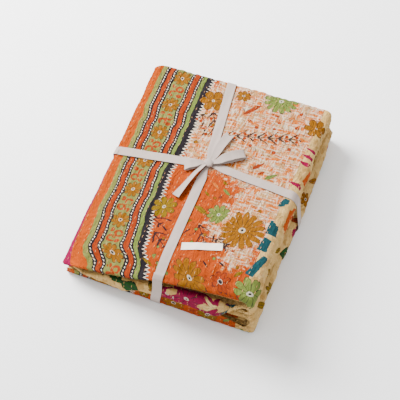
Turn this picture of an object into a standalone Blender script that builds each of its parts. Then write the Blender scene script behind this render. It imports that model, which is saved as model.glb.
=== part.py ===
"""A hand-stitched cotton throw, folded to a sixteen-layer bundle and tied crosswise with a flat tape.

The throw is one sheet. It is folded back and forth four times from front to back, then the
packet of four layers is folded back and forth four times from left to right. The fold map works
in "levels": level 0 is the top of the bundle, level 16 its base, and layer k lies at k + 0.5.
Every length below is in millimetres, and MM turns it to metres.
"""

import math

import bmesh
import bpy
import numpy as np

MM = 0.001

# The bundle
FOLD_DEPTH = 381.0  # front hem to back folds, a quarter of the throw's length
FOLD_WIDTH = 300.0  # left hem to the upper right fold
SHEET = 1.4  # quilted thickness of the cloth
LAYERS = 16
PACKET = 4  # layers that are folded together from left to right
TOP_LEVEL = 0.5
BASE_LEVEL = LAYERS - 0.5
BOX_CENTRE = (153.95, 187.02)  # the middle of the bundle's box, which the model is moved to

# Height of the top over the base: x, height
FRONT_HEIGHT = ((0, 33), (60, 46), (118, 64), (148, 81), (190, 91), (250, 104), (285, 109))
BACK_HEIGHT = ((0, 65), (150, 70), (285, 70))
CREASE_RISE = ((0, 2), (40, 7), (100, 12), (150, 9), (285, 6))  # x, rise behind the front crease
CREASE_DEPTH = 38.0

# The right folds and the left one
ROLL_ROUNDNESS = 0.9  # how far a roll stands out for each level, against the layer pitch
ROLL_PEAK = 0.86  # the furthest point of a grooved roll, against a plain one
UPPER_ROLL_REACH = ((0, 300), (200, 301), (381, 303))  # y, x of its outermost layer
LOWER_ROLL_REACH = ((0, 302), (100, 305), (215, 309), (345, 309), (381, 308))
UPPER_GROOVE = (0.30, 95.0, 22.0)  # depth, place and width in degrees of the groove along a roll
LOWER_GROOVE = (0.22, 100.0, 24.0)
TOP_HEMS = (0.0, 4.0, -1.0, 3.0)  # x of the left hem, layer by layer
BOTTOM_HEMS = (1.0, 5.0, 2.0, 4.0)
LEFT_FOLD = 1.0
RIGHT_X, LEFT_X = 281.0, 12.0  # nominal x where the panels meet the right and the left folds

# Front edge of the outer layer: place along the strip, y where it turns, y of its hem, height drawn
# over the bundle's front. Places 0 to 1 are the top panel, left to right, 6 to 7 the bottom one.
FRONT_HEM = (
    (0.00, 3.0, -4.0, 3.0),
    (0.50, 3.0, -4.0, 6.0),
    (1.00, 3.0, -4.0, 8.0),
    (1.50, 3.0, -4.0, 14.0),
    (1.85, 5.0, 0.0, 5.0),
    (2.00, 8.0, 4.0, 0.0),
    (5.00, 8.0, 4.0, 0.0),
    (5.50, 5.0, -1.0, 12.0),
    (6.00, 4.0, -1.5, 17.0),
    (6.09, 4.0, -1.5, 27.0),
    (6.45, 4.0, -1.5, 40.0),
    (6.65, 4.0, -1.5, 20.0),
    (6.80, 4.0, -1.5, 20.0),
    (7.00, 4.0, -1.5, 15.0),
)
# The second panel's front fold stands out and hangs down as a flap: x, how far it stands out,
# how much of it hangs, height of its tip
FRONT_FLAP = (
    (LEFT_X, 0.0, 0.0, 24),
    (24, 0.4, 0.0, 24),
    (40, 1.0, 0.0, 22),
    (56, 1.0, 0.5, 20),
    (75, 1.0, 1.0, 21),
    (102, 1.0, 1.0, 16),
    (123, 1.0, 1.0, 29),
    (152, 1.0, 1.0, 40),
    (190, 1.0, 1.0, 36),
    (225, 1.0, 1.0, 33),
    (240, 1.0, 1.0, 29),
    (256, 1.0, 0.6, 32),
    (266, 1.0, 0.2, 34),
    (274, 0.5, 0.0, 36),
    (RIGHT_X, 0.0, 0.0, 36),
)
FLAP_REACH = -8.0  # y of the flap's outermost line
FLAP_BULB = 0.7  # how much rounder its fold is where it stands out, against a plain fold
# The flap's section from its inner root round the tip to its outer root: y, share of the way
# down to the tip, level held where it isn't hanging
FLAP_SECTION = (
    (5.0, 0.00, 1.5),
    (-2.6, 0.00, 1.5),
    (-3.8, 0.40, 1.5),
    (-4.0, 0.93, 1.5),
    (-5.7, 1.00, 1.5),
    (-7.4, 0.92, 2.9),
    (-8.0, 0.50, 3.1),
    (-4.6, 0.00, 3.3),
    (5.0, 0.00, 2.5),
)
# Ends of the inner layers: place along the strip, y of the front fold, y of the last hem
INNER_FRONT = ((0, 1.0, 4.0), (1, 1.0, 4.0), (2, 2.0, 5.0), (4, 3.0, 6.0), (7, 3.0, 6.0))
# Back folds: place along the strip, y of the outer pair's fold, y of the inner pair's
BACK_FOLDS = (
    (0.0, 380.0, 377.0),
    (1.0, 379.0, 381.0),
    (1.6, 375.0, 379.0),
    (2.5, 379.0, 374.0),
    (3.5, 372.0, 376.0),
    (4.5, 379.0, 373.0),
    (5.5, 376.0, 380.0),
    (6.5, 380.0, 376.0),
    (7.0, 377.0, 380.0),
)

# Stitch rows and tape marks on the outer layer
ROW_PITCH = 25.0
ROW_DEPTH = 0.6
GROOVE_UNDER_TAPE = 2.4
GROOVE_FLAT, GROOVE_SLOPE = 6.0, 16.0  # half width of the pressed strip, and of each side's slope
CLEAR_GAP = 0.6  # least air kept between a marked layer and the next
RUN_ACROSS = ((0, 203), (153, 211), (310, 190))  # x, y of the tape on top
RUN_ALONG = ((0, 155), (211, 153), (381, 132))  # y, x of the tape on top
BASE_ACROSS = (168.0, 181.0, 212.0, 225.0)  # y where the base's dent starts, is full, ends
BASE_ALONG = (110.0, 124.0, 158.0, 172.0)
BASE_DENT = 1.3
EASE_ROWS = (5.0, 35.0, 300.0, 370.0)  # y where the base leaves the surface and lies on it
EASE_FROM, EASE_OVER = 255.0, 25.0  # x where it starts to leave it on the right, and how soon
EASE_OF_GAP, EASE_MOST = 0.6, 0.8  # how far it leaves it, as a share of the gap over it

# Grid lines of the cloth
TOP_LINES = tuple(12.5 * k for k in range(1, 22))
SECOND_LINES = (274, 266, 256, 240, 215, 185, 150, 123, 102, 75, 56, 40, 24)
THIRD_LINES = (70, 150, 225)
BOTTOM_LINES = (255, 215, 172, 158, 124, 110, 60, 20)
OUTER_ROWS = (35, 100, 168, 181, 212, 225, 300)
INNER_ROWS = (35, 160, 270)
ROLL_STEPS = 7
LEFT_STEPS = 5
FOLD_STEPS = 4

# The tape, its bow and the label
TAPE_WIDTH = 15.0
TAPE = 0.9
TAPE_GAP = 0.35
TOP_GAP = 0.7
KNOT_REACH = 10.0
CROSSING_LIFT = 1.25
CORNER_GAP = 0.6  # least distance between two corners of the tape's outline
HULL_TURN = 0.002  # square millimetres, the least turn that keeps a corner of the tape's outline
KNOT_PLACE = (154.0, 210.0)
KNOT_SIZE = (17.0, 15.0, 8.5)
LABEL_CENTRE = (199.0, 60.0)
LABEL_SIZE = (60.0, 13.0)
LABEL_TURN = 13.5
LABEL_THICKNESS = 0.8
BAND_SPARE = 1.5  # how far past the tape's edge the cloth still counts for its outline
LOWEST_TOP = 25.0  # the tape's points above this height and between its edges lie on top
KNOT_TAPER = 26.0  # length over which the tape is drawn in to enter the knot
LEAN_HEIGHT = 60.0  # height at which the tape is over its line on top


def column(table, k):
    """One named column of a short table, as an array."""
    return np.array([row[k] for row in table], float)


def read(table, at, k=1):
    """The table's column k at a place, straight between its rows."""
    return np.interp(at, column(table, 0), column(table, k))


def smooth(t):
    """0 to 1 with level ends."""
    t = np.clip(t, 0.0, 1.0)
    return t * t * (3.0 - 2.0 * t)


def height(x, y):
    """Height of the bundle: front and back profiles joined by straight lines, with a soft rise
    behind the crease that runs along the front edge."""
    back = np.clip(y / FOLD_DEPTH, 0.0, 1.0)
    rise = read(CREASE_RISE, x) * smooth(y / CREASE_DEPTH)
    return (read(FRONT_HEIGHT, x) + rise) * (1.0 - back) + read(BACK_HEIGHT, x) * back


def pitch(x, y):
    """Distance from one layer to the next."""
    return (height(x, y) - SHEET) / (BASE_LEVEL - TOP_LEVEL)


def plateau(at, edges):
    """1 between the two inner edges, 0 outside the outer ones."""
    return np.interp(at, edges, (0.0, 1.0, 1.0, 0.0))


def marks_on_top(x, y):
    """How far the top layer is pressed down: by the tape's two runs and between stitch rows."""
    spare = np.clip(pitch(x, y) - SHEET - CLEAR_GAP, 0.0, None)
    across = 1.0 - smooth((np.abs(y - read(RUN_ACROSS, x)) - GROOVE_FLAT) / GROOVE_SLOPE)
    along = 1.0 - smooth((np.abs(x - read(RUN_ALONG, y)) - GROOVE_FLAT) / GROOVE_SLOPE)
    tape = GROOVE_UNDER_TAPE * np.maximum(across, along)
    rows = ROW_DEPTH * (0.5 - 0.5 * np.cos(2.0 * math.pi * x / ROW_PITCH))
    return np.minimum(spare, tape + rows)


def marks_on_base(x, y):
    """How far the base is off the surface: where the tape passes under it, and near its folds."""
    dent = BASE_DENT * (plateau(y, BASE_ACROSS) + plateau(x, BASE_ALONG))
    ease = np.clip(EASE_OF_GAP * (pitch(x, y) - SHEET), 0.0, EASE_MOST)
    folds = np.maximum(1.0 - plateau(y, EASE_ROWS), smooth((x - EASE_FROM) / EASE_OVER))
    return dent + ease * folds


def level_height(x, y, level):
    """Height of the sheet's middle at a level: evenly spaced layers, and the marks in the
    outermost layers alone."""
    share = (BASE_LEVEL - level) / (BASE_LEVEL - TOP_LEVEL)
    z = SHEET / 2.0 + (height(x, y) - SHEET) * share
    z = z - marks_on_top(x, y) * np.clip(TOP_LEVEL + 1.0 - level, 0.0, 1.0)
    return z + marks_on_base(x, y) * np.clip(level - BASE_LEVEL + 1.0, 0.0, 1.0)


def roll_start(reach, y):
    """Where a right fold leaves its panel, and how far it stands out for each level."""
    step = ROLL_ROUNDNESS * pitch(RIGHT_X, y)
    return read(reach, y) - ROLL_PEAK * (PACKET - 0.5) * step, step


def grooved(angle, groove):
    """A roll's reach with one soft groove along it."""
    depth, place, width = groove
    return 1.0 - depth * np.exp(-(((np.degrees(angle) - place) / width) ** 2))


def packet_place(place, lines, y, depth):
    """x and level of a point of the packet.

    place is 0 to 7: top panel, upper roll, second panel, left fold, third panel, lower roll,
    bottom panel. depth is 0 to 4 through the packet. A panel's x comes from its grid lines, and
    a fold is half a turn about the packet's inner side.
    """
    stage = np.minimum(np.floor(place), 6.0)
    angle = math.pi * (place - stage)
    first, first_step = roll_start(UPPER_ROLL_REACH, y)
    second, second_step = roll_start(LOWER_ROLL_REACH, y)
    left_step = 1.05 * pitch(0.0, y)
    left = LEFT_FOLD + (PACKET - 0.5) * left_step
    layer = np.arange(PACKET) + 0.5
    hem_top = np.interp(depth, layer, TOP_HEMS)
    hem_bottom = np.interp(depth, layer, BOTTOM_HEMS)
    ends = {
        "first hem": hem_top,
        "upper": first,
        "left": left,
        "lower": second,
        "last hem": hem_bottom,
    }
    x = np.array(np.broadcast_to(np.nan_to_num(lines["x"]), depth.shape))
    for name, value in ends.items():
        x = np.where(lines["end"] == name, value, x)
    inner = PACKET - depth
    x = np.where(stage == 1, first + first_step * inner * np.sin(angle) * grooved(angle, UPPER_GROOVE), x)
    x = np.where(stage == 3, left - left_step * depth * np.sin(angle), x)
    x = np.where(stage == 5, second + second_step * inner * np.sin(angle) * grooved(angle, LOWER_GROOVE), x)
    levels = (
        depth,
        PACKET - inner * np.cos(angle),
        2 * PACKET - depth,
        2 * PACKET - depth * np.cos(angle),
        2 * PACKET + depth,
        3 * PACKET - inner * np.cos(angle),
        4 * PACKET - depth,
    )
    level = np.zeros(depth.shape)
    for k, value in enumerate(levels):
        level = np.where(stage == k, value, level)
    return x, level


def strip_columns():
    """The grid's columns along the strip: place, x where it is a fixed line, and the name of the
    moving line where it isn't."""
    runs = (
        ("first hem", TOP_LINES, "upper"),
        ("upper", ROLL_STEPS, "upper"),
        ("upper", SECOND_LINES, "left"),
        ("left", LEFT_STEPS, "left"),
        ("left", THIRD_LINES, "lower"),
        ("lower", ROLL_STEPS, "lower"),
        ("lower", BOTTOM_LINES, "last hem"),
    )
    place, x, end = [0.0], [np.nan], ["first hem"]
    for stage, (start, lines, stop) in enumerate(runs):
        if isinstance(lines, int):
            place += [stage + k / lines for k in range(1, lines)]
            x += [np.nan] * (lines - 1)
            end += ["turn"] * (lines - 1)
        else:
            ahead = [v / RIGHT_X for v in lines]
            place += [stage + (a if lines[0] < lines[-1] else 1.0 - a) for a in ahead]
            x += list(lines)
            end += ["line"] * len(lines)
        place.append(stage + 1.0)
        x.append(np.nan)
        end.append(stop)
    return np.array(place), {"x": np.array(x, float), "end": np.array(end)}


def packet_rows(place, across):
    """y and depth through the packet of every row of the grid, from the outer layer's front hem
    to the last layer's. across is each column's x, for the flap."""
    step, back_step = pitch(across, 0.0), pitch(across, FOLD_DEPTH)
    ones = np.ones(place.shape)
    rows = []
    turn, hem = read(FRONT_HEM, place, 1), read(FRONT_HEM, place, 2)
    drawn = read(FRONT_HEM, place, 3) / step
    for way, rise in ((1.0, 1.0), (0.93, 0.5), (0.75, 0.1), (0.0, 0.0)):
        rows.append((turn + (hem - turn) * way, 0.5 + drawn * rise))
    rows += [(y * ones, 0.5 * ones) for y in OUTER_ROWS]
    outer_back, inner_back = read(BACK_FOLDS, place, 1), read(BACK_FOLDS, place, 2)

    def back_fold(y, centre):
        for k in range(FOLD_STEPS + 1):
            angle = math.pi * k / FOLD_STEPS
            rows.append((y + 0.5 * back_step * math.sin(angle), (centre - 0.5 * math.cos(angle)) * ones))

    back_fold(outer_back, 1.0)
    rows += [(y * ones, 1.5 * ones) for y in reversed(INNER_ROWS)]
    front = read(INNER_FRONT, place, 1)
    second_panel = (place > 2.0) & (place < 3.0)
    out = np.where(second_panel, read(FRONT_FLAP, across, 1), 0.0)
    hang = np.where(second_panel, smooth(read(FRONT_FLAP, across, 2)), 0.0)
    tip_level = BASE_LEVEL - (read(FRONT_FLAP, across, 3) - SHEET / 2.0) / step
    tip = 2 * PACKET - tip_level
    fold_y = front + (FLAP_REACH - front) * out
    last = len(FLAP_SECTION) - 1
    for k, (y, way, held) in enumerate(FLAP_SECTION):
        angle = math.pi * k / last
        bulb = 1.0 + FLAP_BULB * out
        plain_y = fold_y + 0.5 * step * bulb * (1.0 - math.sin(angle))
        plain_depth = 2.0 - 0.5 * math.cos(angle) * (1.0 + (bulb - 1.0) * math.sin(angle))
        flap_depth = held + (tip - held) * way
        rows.append((plain_y + (y - plain_y) * hang, plain_depth + (flap_depth - plain_depth) * hang))
    rows += [(y * ones, 2.5 * ones) for y in INNER_ROWS]
    back_fold(inner_back, 3.0)
    rows += [(y * ones, 3.5 * ones) for y in reversed(INNER_ROWS)]
    rows.append((read(INNER_FRONT, place, 2), 3.5 * ones))
    return np.array([row[0] for row in rows]), np.array([row[1] for row in rows])


def nominal_x(place, lines):
    """x of each column at mid depth, for what depends on the place across the bundle."""
    known = ~np.isnan(lines["x"])
    ends = {"first hem": 0.0, "upper": RIGHT_X, "left": LEFT_X, "lower": RIGHT_X, "last hem": 0.0}
    value = np.where(known, lines["x"], 0.0)
    for name, x in ends.items():
        value = np.where(lines["end"] == name, x, value)
    moving = lines["end"] == "turn"
    return np.where(moving, np.where((place > 3) & (place < 4), LEFT_X / 2.0, RIGHT_X), value)


def fold_points():
    """The folded sheet's middle surface as a rows by columns grid of points."""
    place, lines = strip_columns()
    across = nominal_x(place, lines)
    y, depth = packet_rows(place, across)
    x, level = packet_place(place, lines, y, depth)
    z = level_height(x, y, level)
    return np.stack([x, y, z], axis=-1)


def material(name, colour, roughness):
    """A plain cloth finish."""
    made = bpy.data.materials.new(name)
    made.use_nodes = True
    shader = made.node_tree.nodes["Principled BSDF"]
    shader.inputs["Base Color"].default_value = (*colour, 1.0)
    shader.inputs["Roughness"].default_value = roughness
    shader.inputs["Metallic"].default_value = 0.0
    return made


def to_model(points):
    """Bundle millimetres to model metres, with the box's middle at the origin."""
    return (points - np.array([BOX_CENTRE[0], BOX_CENTRE[1], 0.0])) * MM


def sheet_object(name, points, thickness, finish, collection):
    """A grid primitive whose points are moved to a rows by columns array, made solid by Solidify."""
    rows, columns = points.shape[:2]
    mesh = bpy.data.meshes.new(name)
    grid = bmesh.new()
    bmesh.ops.create_grid(grid, x_segments=columns - 1, y_segments=rows - 1, size=1.0)
    grid.verts.ensure_lookup_table()
    for vertex, place in zip(grid.verts, to_model(points).reshape(-1, 3)):
        vertex.co = place
    grid.to_mesh(mesh)
    grid.free()
    made = bpy.data.objects.new(name, mesh)
    collection.objects.link(made)
    mesh.materials.append(finish)
    mesh.shade_smooth()
    solid = made.modifiers.new("Thickness", "SOLIDIFY")
    solid.thickness = thickness * MM
    solid.offset = 0.0
    return made


def hull(points):
    """Convex outline of points in a plane, anticlockwise."""
    order = sorted(map(tuple, np.round(points, 4)))

    def half(run):
        chain = []
        for p in run:
            while len(chain) > 1:
                (ax, ay), (bx, by) = chain[-2], chain[-1]
                if (bx - ax) * (p[1] - ay) - (by - ay) * (p[0] - ax) > HULL_TURN:
                    break
                chain.pop()
            chain.append(p)
        return chain

    return np.array(half(order)[:-1] + half(order[::-1])[:-1])


def moved_out(outline, off):
    """A convex outline with each side moved out by off."""
    along = np.roll(outline, -1, axis=0) - outline
    normal = np.stack([along[:, 1], -along[:, 0]], axis=1)
    normal /= np.linalg.norm(normal, axis=1)[:, None]
    before = np.roll(normal, 1, axis=0)
    share = 1.0 + (normal * before).sum(axis=1)
    return outline + off * (normal + before) / share[:, None]


def dense_cloth():
    """The folded sheet's points, filled in between the grid lines."""
    points = fold_points()
    for axis, steps in ((0, 10), (1, 4)):
        points = np.moveaxis(points, axis, 0)
        parts = [points[:-1] + (points[1:] - points[:-1]) * k / steps for k in range(steps)]
        points = np.concatenate(parts + [points[-1:]], axis=0)
        points = np.moveaxis(points, 0, axis)
    return points.reshape(-1, 3)


def tape_ring(cloth, axis, centreline, knot, edges, base_points):
    """A tape round the bundle from one side of the knot to the other, as three lines.

    axis is 0 for the run from left to right and 1 for the one from front to back. On top,
    between the two edges, the tape lies on the cloth. Round the sides and under the base it
    follows the convex outline of the cloth near it, moved out by the tape's gap.
    """
    other = 1 - axis
    line = centreline(cloth[:, axis], cloth[:, 2])
    near = np.abs(cloth[:, other] - line) < TAPE_WIDTH / 2.0 + BAND_SPARE
    outline = moved_out(hull(cloth[near][:, (axis, 2)]), SHEET / 2.0 + TAPE_GAP + TAPE / 2.0)
    low = outline[:, 1].min()
    extra = np.array([(at, low) for at in base_points], float).reshape(-1, 2)
    outline = np.vstack([outline, extra])
    on_top = (outline[:, 1] > LOWEST_TOP) & (outline[:, 0] > edges[0]) & (outline[:, 0] < edges[1])
    sides = outline[~on_top]
    middle = sides.mean(axis=0)
    angle = (np.arctan2(sides[:, 1] - middle[1], sides[:, 0] - middle[0]) - math.pi / 2.0) % (2.0 * math.pi)
    sides = sides[np.argsort(angle)]
    keep = [0]
    for k in range(1, len(sides)):
        if np.linalg.norm(sides[k] - sides[keep[-1]]) > CORNER_GAP:
            keep.append(k)
    sides = sides[keep]
    first = np.linspace(knot - KNOT_REACH, edges[0], 13)
    last = np.linspace(edges[1], knot + KNOT_REACH, 13)
    lines = []
    for side in (-TAPE_WIDTH / 2.0, 0.0, TAPE_WIDTH / 2.0):
        point = np.zeros((len(first) + len(sides) + len(last), 3))
        point[:, axis] = np.concatenate([first, sides[:, 0], last])
        high = np.full(len(first), LEAN_HEIGHT)
        point[:, 2] = np.concatenate([high, sides[:, 1], high])
        point[:, other] = centreline(point[:, axis], point[:, 2]) + side
        for part in (slice(0, len(first)), slice(len(first) + len(sides), None)):
            point[part, 2] = top_of_cloth(point[part, 0], point[part, 1]) + TOP_GAP + TAPE / 2.0
        lines.append(point)
    return np.array(lines)


def across_line(x, z):
    """y of the tape's run from left to right, on top and straight back under the base."""
    return np.where(z > 15.0, read(RUN_ACROSS, x), np.interp(x, (0, 310), (203, 190)))


def along_line(y, z):
    """x of the tape's run from front to back: on top it bends at the knot, under the base it
    runs straight, and it leans down the front and back."""
    under = np.interp(y, (0, 381), (148, 134))
    share = smooth(z / LEAN_HEIGHT)
    return read(RUN_ALONG, y) * share + under * (1.0 - share)


def narrowed(points, ends, width_axis):
    """The strip drawn in towards its middle line at both ends, where it enters the knot."""
    middle = points[1]
    run = np.linalg.norm(np.diff(middle, axis=0), axis=1)
    far = np.concatenate([[0.0], np.cumsum(run)])
    for share, distance in ((ends[0], far), (ends[1], far[-1] - far)):
        pull = 1.0 - (1.0 - share) * (1.0 - smooth(distance / KNOT_TAPER))
        for side in (0, 2):
            gap = points[side][:, width_axis] - middle[:, width_axis]
            points[side][:, width_axis] = middle[:, width_axis] + gap * pull
            drop = points[side][:, 2] - middle[:, 2]
            points[side][:, 2] = middle[:, 2] + drop * pull
    return points


def strip_over(path, width, twist):
    """Three lines of a flat strip that lies along a path, level across unless twisted.

    path is x, y, z of the middle line. The strip's width is level and square to the line in plan
    from the path's start to its furthest point, and twist turns it about the path, in degrees.
    """
    away = np.linalg.norm(path[:, :2] - path[0, :2], axis=1)
    reach = path[np.argmax(away)] - path[0]
    level = np.array([-reach[1], reach[0], 0.0])
    level /= np.linalg.norm(level)
    ahead = np.gradient(path, axis=0)
    ahead /= np.linalg.norm(ahead, axis=1)[:, None]
    lift = np.cross(ahead, level)
    turn = np.radians(twist)[:, None]
    side = level * np.cos(turn) + lift * np.sin(turn)
    half = width[:, None] / 2.0
    return np.array([path - side * half, path, path + side * half])


def top_of_cloth(x, y):
    """Upper face of the top layer, straight between its grid lines."""
    x, y = np.asarray(x, float), np.asarray(y, float)
    columns = np.array((0.0,) + TOP_LINES + (283.0,))
    rows = np.array((FRONT_HEM[0][1],) + OUTER_ROWS + (FOLD_DEPTH,))
    table = level_height(columns[None, :], rows[:, None], TOP_LEVEL) + SHEET / 2.0
    row = np.clip(np.searchsorted(rows, y) - 1, 0, len(rows) - 2)
    share = np.clip((y - rows[row]) / (rows[row + 1] - rows[row]), 0.0, 1.0)
    column_at = np.clip(np.searchsorted(columns, x) - 1, 0, len(columns) - 2)
    step = (x - columns[column_at]) / (columns[column_at + 1] - columns[column_at])
    step = np.clip(step, 0.0, 1.0)
    near = table[row, column_at] * (1.0 - step) + table[row, column_at + 1] * step
    far = table[row + 1, column_at] * (1.0 - step) + table[row + 1, column_at + 1] * step
    return near * (1.0 - share) + far * share


def resting(plan, clearance):
    """x, y and height over the cloth turned to x, y, z of a path, clear of the tape's runs."""
    plan = np.array(plan, float)
    z = top_of_cloth(plan[:, 0], plan[:, 1]) + clearance + plan[:, 2]
    return np.stack([plan[:, 0], plan[:, 1], z], axis=1)


# The bow: x, y, height over the cloth, width and twist of each strip, from the knot outwards
LOOP_RIGHT = (
    (165.5, 215.5, 5.0, 9.0, 0),
    (172.0, 220.5, 7.0, 13.0, 6),
    (182.0, 228.5, 8.0, 15.0, 8),
    (193.0, 236.5, 7.0, 15.0, 6),
    (199.5, 241.5, 5.0, 15.0, 4),
    (201.2, 242.8, 3.0, 15.0, 2),
    (199.0, 241.0, 1.2, 15.0, 0),
    (190.0, 234.0, 1.0, 15.0, 0),
    (180.0, 226.5, 1.2, 14.0, 0),
    (171.0, 219.5, 1.6, 10.0, 0),
)
LOOP_LEFT = (
    (142.5, 207.0, 5.2, 9.0, 0),
    (137.0, 203.5, 6.2, 13.0, 0),
    (129.0, 199.5, 6.6, 15.0, 0),
    (121.5, 196.5, 5.0, 15.0, 0),
    (119.8, 196.0, 3.2, 15.0, 0),
    (122.0, 197.0, 1.5, 15.0, 0),
    (130.0, 200.5, 1.9, 15.0, 0),
    (138.5, 204.5, 2.3, 11.0, 0),
)
END_UP = (
    (156.5, 219.5, 3.2, 8.0, 0),
    (158.0, 230.0, 3.4, 12.0, -4),
    (160.0, 246.0, 3.0, 15.0, -4),
    (163.5, 262.0, 2.6, 15.0, 0),
    (167.0, 276.0, 2.2, 15.0, 0),
)
END_DOWN = (
    (147.5, 200.0, 4.0, 6.0, 20),
    (142.0, 186.0, 4.0, 8.5, 32),
    (137.0, 169.0, 3.6, 9.5, 34),
    (132.0, 152.0, 3.2, 10.5, 26),
    (128.0, 137.0, 2.4, 11.5, 12),
)


def bow_strip(name, table, finish, collection):
    """One loop or end of the bow, drawn through its table's rows with points between them."""
    rows = np.array(table, float)
    at = np.arange(len(rows))
    fine = np.linspace(0, len(rows) - 1, 2 * len(rows) - 1)
    path = resting(rows[:, :3], TAPE_GAP + TAPE)
    path = np.stack([np.interp(fine, at, path[:, k]) for k in range(3)], axis=1)
    width = np.interp(fine, at, rows[:, 3])
    twist = np.interp(fine, at, rows[:, 4])
    return sheet_object(name, strip_over(path, width, twist), TAPE, finish, collection)


def make_knot(finish, collection):
    """The knot: a sphere pressed flat, with its sides drawn in between the four strips."""
    ball = bmesh.new()
    bmesh.ops.create_uvsphere(ball, u_segments=20, v_segments=10, radius=0.5)
    x0, y0 = KNOT_PLACE
    floor = float(top_of_cloth(x0, y0))
    for vertex in ball.verts:
        x, y, z = vertex.co
        spin = math.atan2(y, x)
        waist = 1.0 - 0.12 * math.cos(4.0 * spin + math.pi)
        place = np.array([x * KNOT_SIZE[0] * waist, y * KNOT_SIZE[1] * waist, z * KNOT_SIZE[2]])
        vertex.co = to_model(place + np.array([x0, y0, floor + KNOT_SIZE[2] / 2.0 + 0.4]))
    mesh = bpy.data.meshes.new("knot")
    ball.to_mesh(mesh)
    ball.free()
    mesh.shade_smooth()
    mesh.materials.append(finish)
    made = bpy.data.objects.new("knot", mesh)
    collection.objects.link(made)
    return made


def make_label(finish, collection):
    """The sewn label: a short strip that follows the top of the cloth."""
    turn = math.radians(LABEL_TURN)
    along = np.linspace(-0.5, 0.5, 9) * LABEL_SIZE[0]
    lines = []
    for side in (-0.5, 0.0, 0.5):
        off = side * LABEL_SIZE[1]
        x = LABEL_CENTRE[0] + along * math.cos(turn) - off * math.sin(turn)
        y = LABEL_CENTRE[1] + along * math.sin(turn) + off * math.cos(turn)
        z = top_of_cloth(x, y) + TOP_GAP + LABEL_THICKNESS / 2.0
        lines.append(np.stack([x, y, z], axis=1))
    return sheet_object("label", np.array(lines), LABEL_THICKNESS, finish, collection)


def main():
    for old in list(bpy.data.objects):
        bpy.data.objects.remove(old, do_unlink=True)
    collection = bpy.data.collections.new("folded throw")
    bpy.context.scene.collection.children.link(collection)

    cotton = material("printed cotton", (0.85, 0.36, 0.12), 0.9)
    tape_cloth = material("cotton tape", (0.67, 0.59, 0.55), 0.85)

    sheet_object("throw", fold_points(), SHEET, cotton, collection)

    cloth = dense_cloth()
    across = tape_ring(cloth, 0, across_line, KNOT_PLACE[0], (5.0, 282.0), ())
    along = tape_ring(cloth, 1, along_line, KNOT_PLACE[1], (3.0, 377.0), (172, 187, 207, 222))
    low = along[:, :, 2] < 6.0
    along[:, :, 2] += np.where(low, CROSSING_LIFT * plateau(along[:, :, 1], (172, 187, 207, 222)), 0.0)
    sheet_object("tape_across", narrowed(across, (0.55, 0.55), 1), TAPE, tape_cloth, collection)
    sheet_object("tape_along", narrowed(along, (0.4, 0.6), 0), TAPE, tape_cloth, collection)
    make_knot(tape_cloth, collection)
    bow_strip("loop_right", LOOP_RIGHT, tape_cloth, collection)
    bow_strip("loop_left", LOOP_LEFT, tape_cloth, collection)
    bow_strip("end_up", END_UP, tape_cloth, collection)
    bow_strip("end_down", END_DOWN, tape_cloth, collection)
    make_label(tape_cloth, collection)


main()
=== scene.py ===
"""A hand-stitched cotton throw, folded to a bundle and tied crosswise with a flat woven tape.

The folded cloth is one sheet, worked out as a function of two parameters: its place along the
packet's folds, from left hem to left hem, and its place down the cloth, from front hem to last hem.
Lengths in the tables are millimetres in bundle coordinates: x from the open left edge, y from the
open front hems, z from the surface that the bundle lies on.
"""

import math

import bpy
import numpy as np
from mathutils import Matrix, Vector


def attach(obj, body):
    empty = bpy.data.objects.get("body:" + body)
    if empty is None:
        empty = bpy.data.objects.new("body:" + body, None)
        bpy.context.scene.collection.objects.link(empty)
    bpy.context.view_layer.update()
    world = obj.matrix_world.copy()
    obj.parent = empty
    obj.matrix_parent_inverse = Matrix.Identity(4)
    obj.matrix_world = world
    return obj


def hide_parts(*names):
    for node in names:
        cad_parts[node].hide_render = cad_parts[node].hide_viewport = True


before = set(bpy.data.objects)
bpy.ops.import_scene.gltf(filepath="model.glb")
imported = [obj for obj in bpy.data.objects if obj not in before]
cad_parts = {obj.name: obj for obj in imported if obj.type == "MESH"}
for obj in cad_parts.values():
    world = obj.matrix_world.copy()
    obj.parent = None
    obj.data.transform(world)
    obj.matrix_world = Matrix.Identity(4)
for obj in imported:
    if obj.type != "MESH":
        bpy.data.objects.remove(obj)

bl_info = {
    "name": "Folded throw",
    "version": (1, 0, 0),
    "blender": (4, 5, 0),
    "location": "3D View > Sidebar > Throw",
    "description": "Makes a folded, tied throw round its packed frame",
    "category": "Add Mesh",
}

MM = 0.001

# The bundle
FOLD_DEPTH = 381.0  # front hem to back folds, a quarter of the throw's length
LAYERS = 16
PACKET = 4  # layers that are folded together from left to right
SHEET = 1.4  # quilted thickness of the cloth
TOP_LEVEL = 0.5
BASE_LEVEL = LAYERS - 0.5
BOX_CENTRE = (153.95, 187.02)  # the middle of the bundle's box, where the frame has its origin

# Height of the top over the base: x, height
FRONT_HEIGHT = ((0, 33), (60, 46), (118, 64), (148, 81), (190, 91), (250, 104), (285, 109))
BACK_HEIGHT = ((0, 65), (150, 70), (285, 70))
CREASE_RISE = ((0, 2), (40, 7), (100, 12), (150, 9), (285, 6))  # x, rise behind the front crease
CREASE_DEPTH = 38.0

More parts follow.
